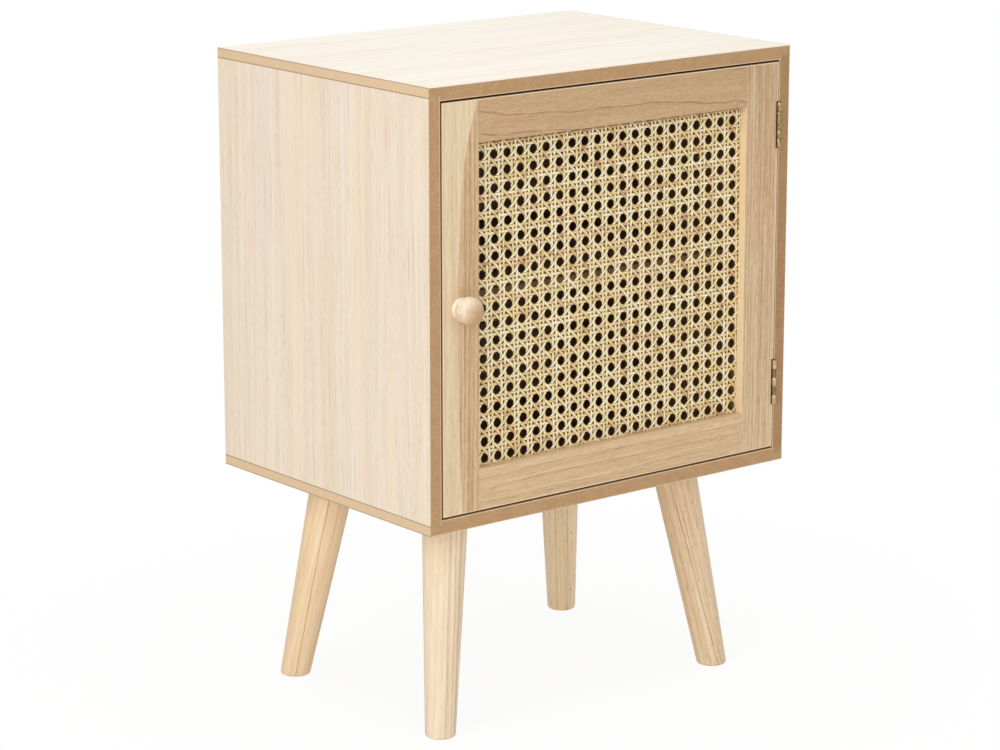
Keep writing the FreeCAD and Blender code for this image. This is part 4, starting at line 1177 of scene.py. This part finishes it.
def floor():
    """A paper floor that keeps the object's shadow and turns plain white a little way off."""
    half = FLOOR_SIZE / 2
    corners = [(-half, -half, 0), (half, -half, 0), (half, half, 0), (-half, half, 0)]
    mesh = bpy.data.meshes.new("floor")
    mesh.from_pydata(corners, [], [(0, 1, 2, 3)])
    piece = bpy.data.objects.new("floor", mesh)
    bpy.context.scene.collection.objects.link(piece)
    finish = Finish("floor_paper", roughness=FLOOR_ROUGHNESS, specular=0.0)
    finish.colour(FLOOR_TONE)
    away = finish.vector("DISTANCE", finish.spot, (0, 0, 0))
    share = finish.span(away, FLOOR_SHADOW_REACH, FLOOR_WHITE_REACH, FLOOR_WHITE_SHARE, 1.0)
    finish.feed(finish.tree.nodes["Material Output"].inputs["Surface"], white_to_camera(finish, share))
    mesh.materials.append(finish.material)


def world():
    """An even light from all round, which the camera sees as white."""
    made = bpy.data.worlds.new("studio")
    bpy.context.scene.world = made
    made.use_nodes = True
    tree = made.node_tree
    rays = tree.nodes.new("ShaderNodeLightPath").outputs["Is Camera Ray"]
    strength = tree.nodes.new("ShaderNodeMapRange")
    strength.inputs["To Min"].default_value = WORLD_STRENGTH
    strength.inputs["To Max"].default_value = 1.0
    tree.links.new(rays, strength.inputs["Value"])
    background = tree.nodes["Background"]
    background.inputs["Color"].default_value = (1, 1, 1, 1)
    tree.links.new(strength.outputs[0], background.inputs["Strength"])


def soft_box(name, place, aim, size, power):
    """A square lamp that faces a point."""
    lamp = bpy.data.lights.new(name, "AREA")
    lamp.size = size
    lamp.energy = power
    piece = bpy.data.objects.new(name, lamp)
    piece.location = place
    piece.rotation_mode = "QUATERNION"
    piece.rotation_quaternion = (Vector(aim) - Vector(place)).to_track_quat("-Z", "Y")
    bpy.context.scene.collection.objects.link(piece)


CAMERA_AZIMUTH = math.radians(-38.84)
CAMERA_ELEVATION = math.radians(13.62)
CAMERA_LENS = 119.4
CAMERA_SENSOR = 36.0
CARCASS_LOW, CARCASS_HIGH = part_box("top_panel")
CAMERA_TARGET_HEIGHT = 0.395
CAMERA_TARGET = Vector((0.0, (CARCASS_LOW.y + CARCASS_HIGH.y) / 2, CAMERA_TARGET_HEIGHT))
CAMERA_DISTANCE = 2.935
CAMERA_RIGHT = -0.004
CAMERA_UP = -0.117


def camera():
    """The photograph's view, upright and with no shift."""
    back = Vector((
        math.sin(CAMERA_AZIMUTH) * math.cos(CAMERA_ELEVATION),
        -math.cos(CAMERA_AZIMUTH) * math.cos(CAMERA_ELEVATION),
        math.sin(CAMERA_ELEVATION),
    ))
    right = Vector((math.cos(CAMERA_AZIMUTH), math.sin(CAMERA_AZIMUTH), 0))
    up = back.cross(right)
    lens = bpy.data.cameras.new("camera")
    lens.lens = CAMERA_LENS
    lens.sensor_width = CAMERA_SENSOR
    piece = bpy.data.objects.new("camera", lens)
    bpy.context.scene.collection.objects.link(piece)
    place = CAMERA_TARGET + back * CAMERA_DISTANCE + right * CAMERA_RIGHT + up * CAMERA_UP
    piece.matrix_world = Matrix.Translation(place) @ Matrix((right, up, back)).transposed().to_4x4()
    bpy.context.scene.camera = piece


LAMPS = {
    "key": dict(place=(-2.6, -1.0, 1.7), aim=(0, 0, 0.35), size=1.6, power=30),
    "top": dict(place=(0.0, 0.0, 2.6), aim=(0, 0, 0.4), size=2.0, power=28),
    "front": dict(place=(0.6, -2.6, 1.0), aim=(0, 0, 0.35), size=1.6, power=7),
    "low": dict(place=(-1.5, -2.2, 0.8), aim=(0.1, 0.1, 0.1), size=1.0, power=8),
}

floor()
world()
for name, lamp in LAMPS.items():
    soft_box(name, **lamp)
camera()
bpy.context.scene.view_settings.view_transform = "Standard"
